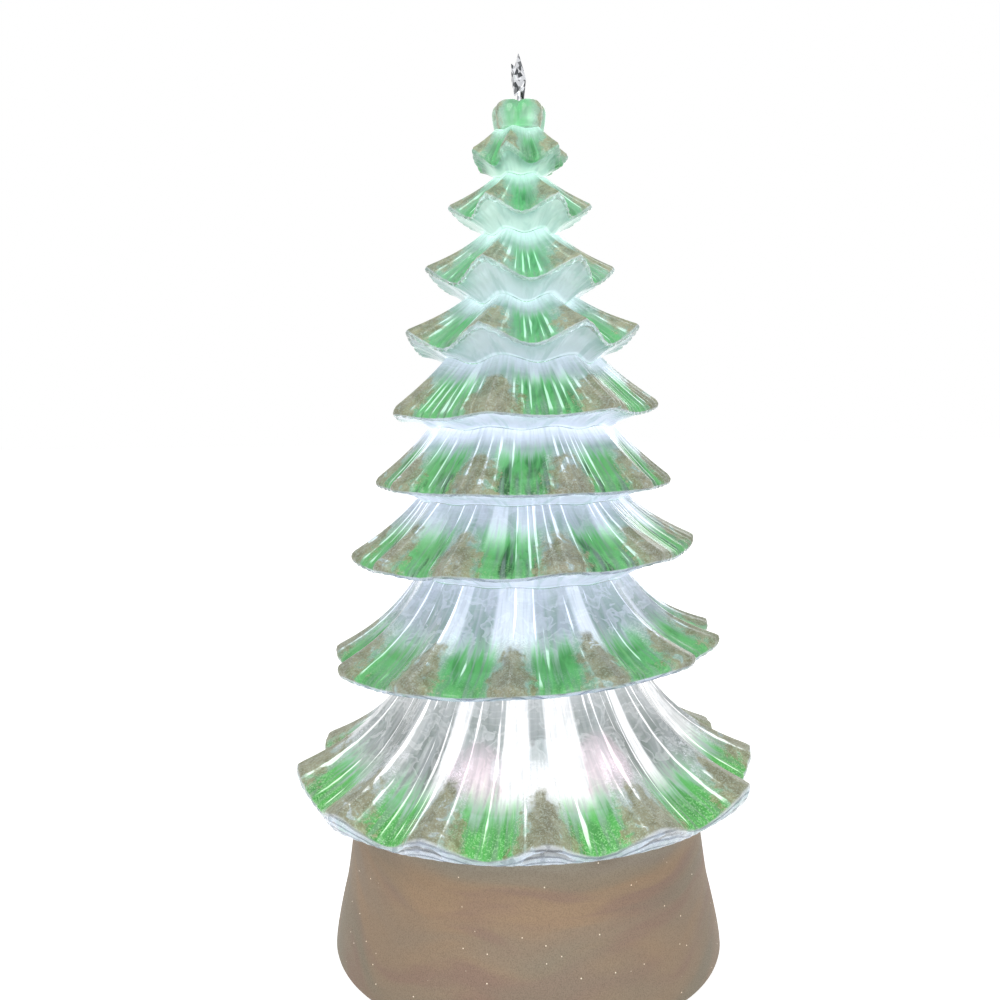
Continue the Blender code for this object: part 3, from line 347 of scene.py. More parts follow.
tierShape = {
    "footNeck": 44.4, "seatGap": 0.3, "wall": 2.6, "bellyShare": 0.62, "bellyDrop": 1.6,
    "bellyClear": 0.3, "fluteDepth": 0.85, "fluteDepths": (0.55, 1.0), "fluteShift": 0.3, "ridgePower": 0.7,
    "crestDepth": 0.45, "neckDepth": 0.12, "rimDepth": 0.4, "scallop": 0.55, "rimWaver": 0.4,
    "depthRise": 1.1, "waverScale": 3.1, "waverShift": 7.3, "lipTuck": 0.45, "lipDrop": 0.25,
    "footTuck": 0.35, "underArch": 0.06, "flareRows": 18, "rimRows": 4, "underRows": 6, "stepsPerFlute": 5,
    "sharpAngle": 38.0, "seed": 31, "barSeed": 131,
    "glareFall": (1.0, 0.6, 0.3, 0.12, 0.03), "neckReach": 0.28, "planShare": 0.8,
    "barsBehind": 6, "barClear": 30.0, "barShifts": (0.2, 0.8), "barHalves": (3.0, 7.0),
    "barStrengths": (0.4, 0.9), "barReach": 0.7, "barFade": 0.3,
}
insideReach = 4.0


def aroundAxis(radius, turn, height):
    # A point in metres from millimetres round the axis, where turn 0 is the front
    return radius * math.sin(turn) * mm, -radius * math.cos(turn) * mm, height * mm


def spreadCrests(front, count):
    angles = [math.radians(angle) for angle in front]
    missing = count - len(angles)
    gap = (fullTurn - (angles[-1] - angles[0])) / (missing + 1)
    return angles + [angles[-1] + gap * (index + 1) for index in range(missing)]


def lobesOf(crests):
    return list(zip(crests, crests[1:] + [crests[0] + fullTurn]))


def lobeAt(crests, turn):
    # How far the turn lies past the crest before it, and how wide that lobe is
    for start, end in lobesOf(crests):
        offset = (turn - start) % fullTurn
        if offset <= end - start + 1e-9:
            return offset, end - start
    return 0.0, fullTurn


def polygonRadius(corner, crests, turn):
    offset, width = lobeAt(crests, turn)
    return corner * math.cos(width / 2) / math.cos(offset - width / 2)


def seamHeight(tier, crests, turn):
    # The seam on a neck: high at the crests, low at the middle of each fan
    offset, width = lobeAt(crests, turn)
    return tier["seamWave"] * math.cos(fullTurn * offset / width)


def flareSag(reach, sweep):
    # The share of the drop that the flare has made by then: straight, or steeper near the neck
    return reach + (1 - (1 - reach) ** 3 - reach) * sweep


def crestHeight(share, rounding):
    # How much of the corner's form the rim has: 1 on a crest and 0 in the middle of a fan
    sharp = 1 - math.sin(math.pi * share)
    rounded = (1 + math.cos(fullTurn * share)) / 2
    return sharp + (rounded - sharp) * rounding


def lampBars(tier, shape, seed):
    # The bars given for the front, and evenly spread ones of the same kind for the sides and back
    draw = random.Random(seed)
    bars = list(tier.get("bars", ()))
    if bars:
        first = bars[-1][0] + shape["barClear"]
        step = (360.0 + bars[0][0] - shape["barClear"] - first) / shape["barsBehind"]
        bars += [(first + step * (index + draw.uniform(*shape["barShifts"])),
                  draw.uniform(*shape["barHalves"]), draw.uniform(*shape["barStrengths"]))
                 for index in range(shape["barsBehind"])]
    return [(math.radians(angle), math.radians(half), strength) for angle, half, strength in bars]


def barStrength(bars, turn):
    # Full over most of a bar, and faded out by a tenth beyond its half width
    strongest, edge, fade = 0.0, 1.1, 0.25
    for angle, half, strength in bars:
        offset = abs((turn - angle + math.pi) % fullTurn - math.pi) / half
        if offset < edge:
            strongest = max(strongest, strength * min(1.0, (edge - offset) / fade))
    return strongest


def glowStrength(glows, turn, place):
    strongest = 0.0
    for angle, half, middle, spread, strength in glows:
        offset = ((math.degrees(turn) - angle + 180) % 360 - 180) / half
        strongest = max(strongest, strength * math.exp(-offset ** 2 - ((place - middle) / spread) ** 2))
    return strongest


def tierColumns(tier, shape, seed, barSeed):
    # One column of points for each step round the tier, with uneven flutes between the crests
    draw, shift = random.Random(seed), shape["fluteShift"]
    crests = spreadCrests(tier["crests"], tier["count"])
    tones = [draw.random() for crest in crests]
    bars = lampBars(tier, shape, barSeed)
    columns = []
    for index, (start, end) in enumerate(lobesOf(crests)):
        flutes = max(3, round((end - start) * tier["tip"][0] / tier["flute"]))
        edges = [(number + (draw.uniform(-shift, shift) if 0 < number < flutes else 0.0)) / flutes
                 for number in range(flutes + 1)]
        depths = [draw.uniform(*shape["fluteDepths"]) for number in range(flutes)]
        shines = [draw.choice(tier["shines"]) for number in range(flutes)]
        for number in range(flutes):
            for step in range(shape["stepsPerFlute"]):
                part = step / shape["stepsPerFlute"]
                share = edges[number] + (edges[number + 1] - edges[number]) * part
                turn = start + (end - start) * share
                ridge = abs(math.cos(math.pi * part)) ** shape["ridgePower"]
                columns.append({"turn": turn, "share": share, "bar": barStrength(bars, turn),
                                "glare": shines[number] * shape["glareFall"][step],
                                "groove": (1 - ridge) * depths[number],
                                "tone": tones[index] if share < 0.5 else tones[(index + 1) % len(tones)]})
    return crests, columns


def tierLine(tier, crests, below, lower, top, column, shape, bores, seed):
    # The section of the tier at one column, from the neck over the rim and back up the hollow
    turn, share, groove = column["turn"], column["share"], column["groove"]
    crest = crestHeight(share, tier["round"])
    tipRadius, tipDrop, tipEdge = tier["tip"]
    fanRadius, fanDrop, fanEdge = tier["fan"]
    wave = noise.noise(Vector((math.sin(turn) * shape["waverScale"], math.cos(turn) * shape["waverScale"],
                               seed * shape["waverShift"])))
    rim = (fanRadius + (tipRadius - fanRadius) * crest - shape["scallop"] * groove
           - shape["rimWaver"] * abs(wave))
    drop = fanDrop + (tipDrop - fanDrop) * crest
    edge = fanEdge + (tipEdge - fanEdge) * crest
    lean = tier["lean"] * math.sin(turn)
    neck = polygonRadius(tier["neck"], crests, turn)
    seamTop = seamHeight(tier, crests, turn)
    crestNear = abs(2 * share - 1)
    kept = shape["crestDepth"]
    depth = shape["fluteDepth"] * groove * (kept + (1 - kept) * (1 - crestNear))
    line = []
    rows, nudge = shape["flareRows"], 0.02
    for index in range(rows + 1):
        reach = index / rows
        before, after = max(reach - nudge, 0.0), min(reach + nudge, 1.0)
        run = (rim - neck) * (after - before)
        fall = drop * (flareSag(after, tier["sweep"]) - flareSag(before, tier["sweep"]))
        length = math.hypot(run, fall)
        cut = depth * min(shape["neckDepth"] + reach * shape["depthRise"], 1.0)
        radius = neck + (rim - neck) * reach - cut * fall / length
        height = top - drop * flareSag(reach, tier["sweep"]) + lean * reach - cut * run / length
        height += seamTop * (1 - reach) ** 3
        if index == rows:
            radius -= shape["lipTuck"]
        line.append((radius, height, reach))
    low = top - drop - edge + lean + tier["teeth"] * groove
    high = line[-1][1]
    inset = (edge - fanEdge) / 2
    for index in range(1, shape["rimRows"] + 1):
        part = index / shape["rimRows"]
        radius = (rim - depth * shape["rimDepth"] * (1 - part) - inset * part ** 2
                  - shape["footTuck"] * part ** 4)
        height = high - shape["lipDrop"] + (low - high + shape["lipDrop"]) * part
        line.append((radius, height, 1.0 + 0.2 * part))
    bottom = top - tier["height"] + shape["seatGap"]
    seam = polygonRadius(below["neck"] if below else shape["footNeck"], lower, turn)
    seamBottom = bottom + (seamHeight(below, lower, turn) if below else 0.0)
    startRadius, startHeight = line[-1][0], line[-1][1]
    for index in range(1, shape["underRows"] + 1):
        part = index / shape["underRows"]
        arch = math.sin(math.pi * part) * shape["underArch"] * (startRadius - seam)
        line.append((startRadius + (seam - startRadius) * part,
                     startHeight + (seamBottom - startHeight) * part + arch, 2.0 + part))
    topBore, bottomBore = bores
    belly = max(topBore + (fanRadius - shape["wall"] - topBore) * shape["bellyShare"],
                bottomBore + shape["bellyClear"])
    bellyHeight = (top - fanDrop * flareSag(shape["bellyShare"], tier["sweep"])
                   - shape["wall"] * shape["bellyDrop"] + lean * shape["bellyShare"])
    line += [(radius, height, insideReach)
             for radius, height in ((bottomBore, bottom), (belly, bellyHeight), (topBore, top))]
    return line, crestNear


def widestGap(crests):
    return max(end - start for start, end in lobesOf(crests))


def dressPiece(name, mesh, node, material):
    mesh.materials.clear()
    mesh.materials.append(material)
    piece = bpy.data.objects.new(name, mesh)
    bpy.context.scene.collection.objects.link(piece)
    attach(piece, "root")
    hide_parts(node)
    return piece


def closedMesh(name, points, faces, sharpAngle):
    # A mesh with its faces turned outwards, smooth but for edges sharper than the angle
    mesh = bpy.data.meshes.new(name)
    mesh.from_pydata(points, [], faces)
    bm = bmesh.new()
    bm.from_mesh(mesh)
    bmesh.ops.recalc_face_normals(bm, faces=bm.faces)
    bm.to_mesh(mesh)
    bm.free()
    mesh.shade_smooth()
    mesh.set_sharp_from_angle(angle=math.radians(sharpAngle))
    return mesh


def closeRings(name, rings, fillEnds, sharpAngle):
    # Rings of points joined into one closed skin, its ends filled or joined to each other
    count = len(rings[0])
    spans = len(rings) if not fillEnds else len(rings) - 1
    faces = []
    for row in range(spans):
        after = (row + 1) % len(rings)
        for number in range(count):
            following = (number + 1) % count
            faces.append((row * count + number, row * count + following,
                          after * count + following, after * count + number))
    if fillEnds:
        faces.append(tuple(range(count)))
        faces.append(tuple(range((len(rings) - 1) * count, len(rings) * count)))
    return closedMesh(name, [point for ring in rings for point in ring], faces, sharpAngle)


def markPoints(mesh, values):
    # What the acrylic reads at each point, in the order of pieceLabels
    for position, label in enumerate(pieceLabels):
        layer = mesh.attributes.new(label, "FLOAT", "POINT")
        layer.data.foreach_set("value", [value[position] for value in values])


def buildTier(index, tier, below, top, shape, material):
    node = f"branch_tier_{index + 1}"
    crests, columns = tierColumns(tier, shape, shape["seed"] + index, shape["barSeed"] + index)
    lower = spreadCrests(below["crests"], below["count"]) if below else crests
    lowerNeck = below["neck"] if below else shape["footNeck"]
    bores = (tier["neck"] * math.cos(widestGap(crests) / 2) - shape["wall"],
             lowerNeck * math.cos(widestGap(lower) / 2) - shape["wall"])
    level = index / (len(branchTiers) - 1)
    rings, values, plan = [], [], []
    planRadius = tier["fan"][0] * shape["planShare"] * mm
    for column in columns:
        line, crestNear = tierLine(tier, crests, below, lower, top, column, shape, bores, index)
        turn, along, before = column["turn"], 0.0, line[0]
        rings.append([aroundAxis(radius, turn, height) for radius, height, reach in line])
        for radius, height, reach in line:
            along += math.hypot(radius - before[0], height - before[1])
            before = (radius, height)
            blush = glowStrength(tier.get("blushes", ()), turn, reach)
            lamp = max(glowStrength(tier.get("glows", ()), turn, reach), blush,
                       tier["neckGlow"] * max(0.0, 1 - reach / shape["neckReach"]),
                       column["bar"] * min(1.0, max(0.0, (shape["barReach"] - reach) / shape["barFade"])))
            values.append((reach, crestNear, column["glare"], column["tone"], level,
                           float(reach == insideReach), lamp, blush))
            plan.append((turn * planRadius, along * mm))
    mesh = closeRings(node + "_acrylic", rings, False, shape["sharpAngle"])
    markPoints(mesh, values)
    uvLayer = mesh.uv_layers.new(name="BranchPlan")
    rows, wrap = len(rings[0]), fullTurn * planRadius
    for face in mesh.polygons:
        last = face.index // rows == len(columns) - 1
        for loop in face.loop_indices:
            vertex = mesh.loops[loop].vertex_index
            across, along = plan[vertex]
            uvLayer.data[loop].uv = (across + wrap if last and vertex // rows == 0 else across, along)
    dressPiece(node + "_acrylic", mesh, node, material)


acrylic = paintedAcrylic("painted moulded acrylic", acrylicFinish)
deckTop = 54.0
tierTop = deckTop + sum(tier["height"] for tier in branchTiers)
for index, tier in enumerate(branchTiers):
    below = branchTiers[index + 1] if index + 1 < len(branchTiers) else None
    buildTier(index, tier, below, tierTop, tierShape, acrylic)
    tierTop -= tier["height"]
print("branch tiers:", len(branchTiers))


def smoothThrough(points, perSpan):
    # A Catmull-Rom curve through the points of a profile
    result = []
    for index in range(len(points) - 1):
        before, first = points[max(index - 1, 0)], points[index]
        second, after = points[index + 1], points[min(index + 2, len(points) - 1)]
        for step in range(perSpan):
            t = step / perSpan
            result.append(tuple(0.5 * (2 * b + (c - a) * t + (2 * a - 5 * b + 4 * c - d) * t ** 2
                                       + (3 * b - a - 3 * c + d) * t ** 3)
                                for a, b, c, d in zip(before, first, second, after)))
    result.append(points[-1])
    return result


# Crown: a small puff of the same acrylic, lobed like the tiers, with a dimple that holds the star's stem

crownShape = {
    "bottom": 279.3, "radius": 9.4, "height": 9.4, "crease": 0.16, "creasePower": 0.7, "fit": 0.995,
    "dip": 0.78, "bore": 0.9, "boreDepth": 4.8, "stepsPerLobe": 14, "rowsPerSpan": 4, "sharpAngle": 38.0,
    "crests": (-74, 0, 74, 146, 214), "dabs": (-62, 58, 120, 180, 240), "dabWidth": 60,
    "glows": ((26, 22, 0.2, 0.1, 0.5), (0, 12, 0.6, 0.1, 0.6)), "neckGlow": 0.35, "leastGlow": 0.2,
    "paintReach": 0.44, "bandReach": 0.4, "bandPlace": 0.58, "bandWidth": 0.14, "glare": 0.05, "tone": 0.2,
    "streakWrap": 0.4, "streakDrop": 3,
    "profile": ((0.9, 0, 0), (0.96, 0.24, 0), (1, 0.66, 0), (0.87, 0.92, 0.06), (0.5, 0.98, 0.1),
                (0.25, 0.84, 0)),
}


def buildCrown(shape, material):
    profile = smoothThrough(shape["profile"], shape["rowsPerSpan"])
    mouth = shape["bottom"] + shape["height"] * shape["dip"]
    rings, values = [[] for row in range(len(profile) + 2)], []
    for start, end in lobesOf([math.radians(angle) for angle in shape["crests"]]):
        for step in range(shape["stepsPerLobe"]):
            share = step / shape["stepsPerLobe"]
            turn = start + (end - start) * share
            crease = 1 - math.sin(math.pi * share) ** shape["creasePower"]
            side = shape["radius"] * (1 - shape["crease"] * crease) * shape["fit"]
            section = [(side * radius, shape["bottom"] + shape["height"] * (height - sink * crease))
                       for radius, height, sink in profile]
            section += [(shape["bore"], mouth), (shape["bore"], mouth - shape["boreDepth"])]
            for ring, (radius, height) in zip(rings, section):
                ring.append(aroundAxis(radius, turn, height))
    mesh = closeRings("crown_acrylic", rings, True, shape["sharpAngle"])
    steps = len(rings[0])
    for row in range(len(rings)):
        part = row / (len(rings) - 1)
        for step in range(steps):
            turn = math.degrees(math.atan2(rings[row][step][0], -rings[row][step][1]))
            away = min(abs((turn - dab + 180) % 360 - 180) for dab in shape["dabs"])
            up = math.exp(-((part - shape["bandPlace"]) / shape["bandWidth"]) ** 2)
            lamp = max(shape["neckGlow"] * (1 - part * 4), shape["leastGlow"],
                       glowStrength(shape["glows"], math.radians(turn), part))
            values.append((shape["paintReach"] + shape["bandReach"] * up,
                           max(0.0, 0.98 - away / shape["dabWidth"]), shape["glare"], shape["tone"], 0.0, 0.0,
                           lamp, 0.0))
    markPoints(mesh, values)
    uvLayer = mesh.uv_layers.new(name="BranchPlan")
    for loop in mesh.loops:
        point = mesh.vertices[loop.vertex_index].co
        around = math.atan2(point.x, -point.y) * shape["radius"] * shape["streakWrap"] * mm
        uvLayer.data[loop.index].uv = (around, -point.z * shape["streakDrop"])
    dressPiece("crown_acrylic", mesh, "crown_tuft", material)


# Star: moulded plastic with a vacuum-plated chrome film over small facets. Its broken mirror is painted: dark
# and bright facets in its colour stand for the reflections, over a faint facet relief.

starShape = {
    "radius": 8.8, "waist": 4.1, "halfDepth": 2.6, "stem": 0.6, "centre": 296.3, "stemBottom": 282.2,
    "turn": 73.0, "innerShare": 0.55, "ridgeLift": 0.46, "valleyLift": 0.62, "wornEdge": 0.12,
}
# The chrome's bright and dark facets are painted reflections
starFinish = {"brightReflection": "#D9DBDF", "darkReflection": "#4E5154", "roughness": 0.14, "facet": 1.5 * mm}


def buildStar(shape, material):
    bm = bmesh.new()

    def starRing(share, side):
        ring = []
        for corner in range(10):
            angle = fullTurn * corner / 10
            size = (shape["waist"] if corner % 2 else shape["radius"]) * share
            lift = shape["halfDepth"] * shape["valleyLift" if corner % 2 else "ridgeLift"]
            place = (size * math.sin(angle) * mm, side * lift * mm, size * math.cos(angle) * mm)
            ring.append(bm.verts.new(place))
        return ring

    outline = starRing(1.0, 0)
    for side in (-1, 1):
        centre = bm.verts.new((0.0, side * shape["halfDepth"] * mm, 0.0))
        ring = starRing(shape["innerShare"], side)
        for corner in range(10):
            after = (corner + 1) % 10
            bm.faces.new((outline[corner], outline[after], ring[after], ring[corner]))
            bm.faces.new((ring[corner], ring[after], centre))
    bmesh.ops.recalc_face_normals(bm, faces=bm.faces)
    length = shape["centre"] - shape["stemBottom"]
    stem = bmesh.ops.create_cone(bm, cap_ends=True, segments=16, radius1=shape["stem"] * mm,
                                 radius2=shape["stem"] * mm, depth=length * mm)
    bmesh.ops.translate(bm, vec=(0, 0, -length / 2 * mm), verts=stem["verts"])
    mesh = bpy.data.meshes.new("star_chromed")
    bm.to_mesh(mesh)
    bm.free()
    mesh.transform(Matrix.Translation((0, 0, shape["centre"] * mm))
                   @ Matrix.Rotation(math.radians(shape["turn"]), 4, "Z"))
    star = dressPiece("star_chromed", mesh, "star_finial", material)
    soften = star.modifiers.new("worn edges", "BEVEL")
    soften.width = shape["wornEdge"] * mm
    soften.segments = 2


def vacuumChrome(name, finish):
    material, add = startMaterial(name)
    place = add("TexCoord", out="Object")
    facet = add("TexVoronoi", {"Vector": place, "Scale": 1 / finish["facet"]}, "Color")
    facet = add("SeparateColor", (facet,))
    haze = add("TexNoise", {"Vector": place, "Scale": 2 / finish["facet"], "Detail": 3})
    # Painted reflections: each facet dark or bright in the chrome's colour
    colour = add("Mix", {0: add("MapRange", (facet, 0.3, 0.65), **soft), 6: hexColour(finish["darkReflection"]),
                         7: hexColour(finish["brightReflection"])}, **colours)
    rough = add("MapRange", (haze, 0.3, 0.7, finish["roughness"] * 0.6, finish["roughness"] * 2), **soft)
    bump = add("Bump", {"Height": facet, "Strength": 0.35, "Distance": 0.3 * mm})
    add("OutputMaterial", (add("BsdfPrincipled", {"Base Color": colour, "Roughness": rough, "Metallic": 1,
                                                  "Normal": bump}),))
    return material


buildCrown(crownShape, acrylic)
buildStar(starShape, vacuumChrome("vacuum-plated chrome", starFinish))
print("crown and star built")


# Base housing: turned ABS, hand-painted in broad soft sweeps of bronze, mauve and olive over grey-brown,
# then sprinkled with fine glitter. The eye sees a satin, cloudy brown with pin-point sparks, and its top is
# painted paler with the light that the tree throws on it.

housingShape = {
    "bottomRadius": 67.9, "topRadius": 59.4, "height": 54.0, "wall": 3.0, "lift": 1.0, "edge": 3.4,
    "deckHole": 16.5, "holeEdge": 0.3, "footEdge": (1.2, 0.3, 0.25), "settle": 0.02,
    "side": ((0.0, 0.0), (0.10, 0.05), (0.22, 0.18), (0.35, 0.36), (0.49, 0.57), (0.70, 0.77), (1.0, 1.0)),
    "rowsPerSpan": 6, "edgeRows": 8, "steps": 180, "inset": 0.06, "dent": 0.55, "ripple": 0.18,
    "sharpAngle": 40.0,
}
housingFinish = {
    # The pale coat at the top is painted light from the tree
    "ground": "#9A8772", "bronze": "#A58A6E", "mauve": "#957A6B", "olive": "#8E8471", "spark": "#FFF0D8",
    "paintedTreeLight": "#B4AC9D", "darkFleck": "#5E5144", "treeLightHeights": (42 * mm, 55 * mm), "bronzing": (10 * mm, 34 * mm),
    "roughness": 0.60, "sweepLength": 60 * mm, "sweepWidth": 13 * mm, "sweepRise": 22 * mm,
    "sweepLift": 10 * mm, "sweepSlant": -0.34, "grain": 0.35 * mm, "sparkSpacing": 3.6 * mm,
    "sparkSize": 0.17 * mm,
}


def glitterPaint(name, finish):
    material, add = startMaterial(name)
    place = add("TexCoord", out="Object")
    drift = add("TexNoise", {"Vector": place, "Scale": 1 / finish["sweepLength"], "Detail": 1}, "Color")
    slanted = add("Mapping", {"Vector": place, "Location": (0, 0, -finish["sweepLift"]),
                              "Rotation": (finish["sweepSlant"], 0, 0)})
    bent = add("VectorMath", (drift, (0, 0, finish["sweepRise"] * 2), slanted), **multiplyAdd)
    sweeps = []
    for shift, share in ((0, 1), (7, 1.4), (13, 0.8)):
        laid = add("Mapping", {"Vector": bent, "Location": (shift, shift, shift), "Scale": (
            share / finish["sweepLength"], share / finish["sweepLength"], share / finish["sweepWidth"])})
        sweeps.append(add("TexNoise", {"Vector": laid, "Scale": 1, "Detail": 2.5, "Roughness": 0.45}))
    grain = add("TexNoise", {"Vector": place, "Scale": 1 / finish["grain"], "Detail": 2})
    height = add("SeparateXYZ", (place,), 2)
    # Painted light: the top of the housing paler in patches, where the tree's glow falls on it
    treeLightOn = add("MapRange", (height, *finish["treeLightHeights"], 0, 0.75), **soft)
    treeLightOn = add("MapRange", (sweeps[0], 0.36, 0.6, 0, treeLightOn), **soft)
    colour = hexColour(finish["ground"])
    for sweep, coat, low, high, below, above in zip(sweeps, ("bronze", "mauve", "olive"), (0.42, 0.46, 0.44),
                                                    (0.6, 0.64, 0.62), (0.35, 0.8, 0.9), (1, 0.8, 0.6)):
        share = add("MapRange", (height, *finish["bronzing"], below, above), **soft)
        share = add("MapRange", (sweep, low, high, 0, share), **soft)
        colour = add("Mix", {0: share, 6: colour, 7: hexColour(finish[coat])}, **colours)
    grainy = add("MapRange", (grain, 0.4, 0.7, 0, 0.32), **soft)
    # Glitter: pale sparks that are painted glints and glow faintly, and dark flecks
    dots = {"Vector": place, "Scale": 1 / finish["sparkSpacing"]}
    size = finish["sparkSize"] / finish["sparkSpacing"]
    chosen = add("SeparateColor", (add("TexVoronoi", dots, "Color"),))
    dot = add("MapRange", (add("TexVoronoi", dots), size * 0.6, size * 1.5, 1, 0), **soft)
    spark = add("MapRange", (chosen, 0.22, 0.26, 0, dot))
    fleck = add("MapRange", (chosen, 0.12, 0.16, dot, 0))
    for share, coat in ((treeLightOn, "paintedTreeLight"), (grainy, "darkFleck"), (spark, "spark"), (fleck, "darkFleck")):
        colour = add("Mix", {0: share, 6: colour, 7: hexColour(finish[coat])}, **colours)
    rough = add("MapRange", (grain, 0.3, 0.7, finish["roughness"] - 0.08, finish["roughness"] + 0.1), **soft)
    relief = add("Math", (sweeps[0], 3, grain), **multiplyAdd)
    bump = add("Bump", {"Height": relief, "Strength": 0.35, "Distance": 0.2 * mm})
    surface = add("BsdfPrincipled", {
        "Base Color": colour, "Roughness": rough, "Normal": bump,
        "Emission Color": hexColour(finish["spark"]),
        "Emission Strength": add("MapRange", (spark, 0, 1, 0, 0.7))})
    add("OutputMaterial", (surface,))
    return material


def buildHousing(shape, material):
    taper = shape["bottomRadius"] - shape["topRadius"]
    side = [(shape["bottomRadius"] - taper * inset, shape["height"] * share)
            for share, inset in shape["side"]]
    side = [point for point in smoothThrough(side, shape["rowsPerSpan"])
            if shape["lift"] <= point[1] <= shape["height"] - shape["edge"]]
    shoulder, foot, wall = side[-1][0], side[0][0], shape["wall"]
    tuck, curve, rise = shape["footEdge"]
    profile = [(foot - tuck, shape["lift"]), (foot - curve, shape["lift"] + rise)] + side[1:]
    for step in range(1, shape["edgeRows"] + 1):
        bend = math.pi / 2 * step / shape["edgeRows"]
        profile.append((shoulder - shape["edge"] * (1 - math.cos(bend)),
                        shape["height"] - shape["edge"] * (1 - math.sin(bend)) - shape["settle"]))
    painted = len(profile)
    ceiling, hole, edge = shape["height"] - wall, shape["deckHole"], shape["holeEdge"]
    profile += [(hole + edge, shape["height"] - shape["settle"]), (hole, shape["height"] - edge),
                (hole, ceiling), (shoulder - wall - 2, ceiling)]
    profile += [(radius - wall, height) for radius, height in reversed(side[1::4]) if height < ceiling - 2]
    profile.append((foot - wall, shape["lift"]))
    rings = []
    for row, (radius, height) in enumerate(profile):
        ring = []
        for number in range(shape["steps"]):
            turn = fullTurn * number / shape["steps"]
            x, y = math.sin(turn), -math.cos(turn)
            size = radius - shape["inset"]
            if row < painted:
                dent = noise.noise(Vector((x * 1.9, y * 1.9, height / 26)))
                ripple = noise.noise(Vector((x * 5 + height / 30, y * 5, height / 14)))
                size -= shape["dent"] * (0.5 + 0.5 * dent) + shape["ripple"] * (0.5 + 0.5 * ripple)
            ring.append((size * x * mm, size * y * mm, height * mm))
        rings.append(ring)
    mesh = closeRings("base_housing_painted", rings, False, shape["sharpAngle"])
    dressPiece("base_housing_painted", mesh, "base_shell", material)


buildHousing(housingShape, glitterPaint("hand-painted glitter lacquer", housingFinish))
print("base housing built")


# Pieces that keep their solids, each with the finish of its real material. The mottle and relief are the
# grain that the mould, the plating or the print leaves, drawn a little coarser so that it shows.

keptFinishes = {
    "black moulded ABS": {
        "nodes": ("base_plate", "battery_tray", "battery_door", "switch_body"), "colour": "#1B1B1C",
        "other": "#272729", "roughness": 0.48, "grain": 0.6 * mm, "relief": 0.04 * mm},
    "white moulded ABS": {
        "nodes": ("switch_knob", "led_reflector"), "colour": "#E6E5E0", "other": "#D8D7D0",
        "roughness": 0.32, "grain": 1.0 * mm, "relief": 0.02 * mm},
    "green solder mask": {
        "nodes": ("led_board", "control_board"), "colour": "#16572C", "other": "#1F6E3A",
        "roughness": 0.35, "grain": 1.4 * mm, "relief": 0.05 * mm},
    "nickel-plated steel": {
        "nodes": ("positive_contact", "negative_contact", "front_link_contact", "back_link_contact",
                  "plate_screw_1", "plate_screw_2", "plate_screw_3", "plate_screw_4",
                  "tree_screw_1", "tree_screw_2", "tree_screw_3"),
        "colour": "#B9B9BC", "other": "#A2A1A0", "roughness": 0.26, "metallic": 1.0, "grain": 0.4 * mm,
        "relief": 0.015 * mm},
    "printed shrink sleeve": {
        "nodes": ("battery_1", "battery_2", "battery_3"), "colour": "#23303F", "other": "#2C3B4C",
        "roughness": 0.30, "grain": 2.5 * mm, "relief": 0.02 * mm},
    "closed-cell rubber foam": {
        "nodes": ("foot_1", "foot_2", "foot_3", "foot_4"), "colour": "#1E1D1C", "other": "#2B2A28",
        "roughness": 0.90, "grain": 0.5 * mm, "relief": 0.12 * mm},
    "red PVC sleeve": {
        "nodes": ("positive_lead",), "colour": "#A9201A", "other": "#94190F", "roughness": 0.42,
        "grain": 0.8 * mm, "relief": 0.01 * mm},
    "black PVC sleeve": {
        "nodes": ("negative_lead",), "colour": "#19191A", "other": "#242425", "roughness": 0.42,
        "grain": 0.8 * mm, "relief": 0.01 * mm},
}
lampFinishes = {
    "frosted diffuser": {"nodes": ("led_lens",), "colour": "#FAF8FF", "strength": 1.8, "grain": 0.8 * mm},
    "phosphor over a lamp chip": {"nodes": ("led_1", "led_2", "led_3"), "colour": "#FFF2C8", "strength": 3.0,
                                  "grain": 0.5 * mm},
}
floorPlateFinish = {"colour": "#C6C9D2", "roughness": 0.08, "clearness": 0.8, "ior": 1.49, "grain": 3 * mm,
                    "relief": 0.1 * mm}


def startGrained(name, finish):
    material, add = startMaterial(name)
    place = add("TexCoord", out="Object")
    grain = add("TexNoise", {"Vector": place, "Scale": 1 / finish["grain"], "Detail": 4})
    return material, add, grain, hexColour(finish["colour"])


def mottledFinish(name, finish):
    material, add, grain, colour = startGrained(name, finish)
    colour = add("Mix", {0: add("MapRange", (grain, 0.35, 0.65), **soft), 6: colour,
                         7: hexColour(finish["other"])}, **colours)
    rough = add("MapRange", (grain, 0.3, 0.7, finish["roughness"] * 0.85, finish["roughness"] * 1.1), **soft)
    bump = add("Bump", {"Height": grain, "Strength": 0.5, "Distance": finish["relief"]})
    add("OutputMaterial", (add("BsdfPrincipled", {"Base Color": colour, "Roughness": rough, "Normal": bump,
                                                  "Metallic": finish.get("metallic", 0)}),))
    return material


def lampFinish(name, finish):
    material, add, grain, colour = startGrained(name, finish)
    strength = add("MapRange", (grain, 0.3, 0.7, finish["strength"] * 0.85, finish["strength"] * 1.1), **soft)
    add("OutputMaterial", (add("BsdfPrincipled", {
        "Base Color": colour, "Roughness": add("MapRange", (grain, 0.3, 0.7, 0.45, 0.65), **soft),
        "Emission Color": colour, "Emission Strength": strength}),))
    return material


def clearPlate(name, finish):
    material, add, grain, colour = startGrained(name, finish)
    rough = add("MapRange", (grain, 0.3, 0.7, finish["roughness"], finish["roughness"] * 2), **soft)
    bump = add("Bump", {"Height": grain, "Strength": 0.3, "Distance": finish["relief"]})
    add("OutputMaterial", (add("BsdfPrincipled", {
        "Base Color": colour, "Roughness": rough, "IOR": finish["ior"],
        "Transmission Weight": finish["clearness"], "Normal": bump}),))
    return material


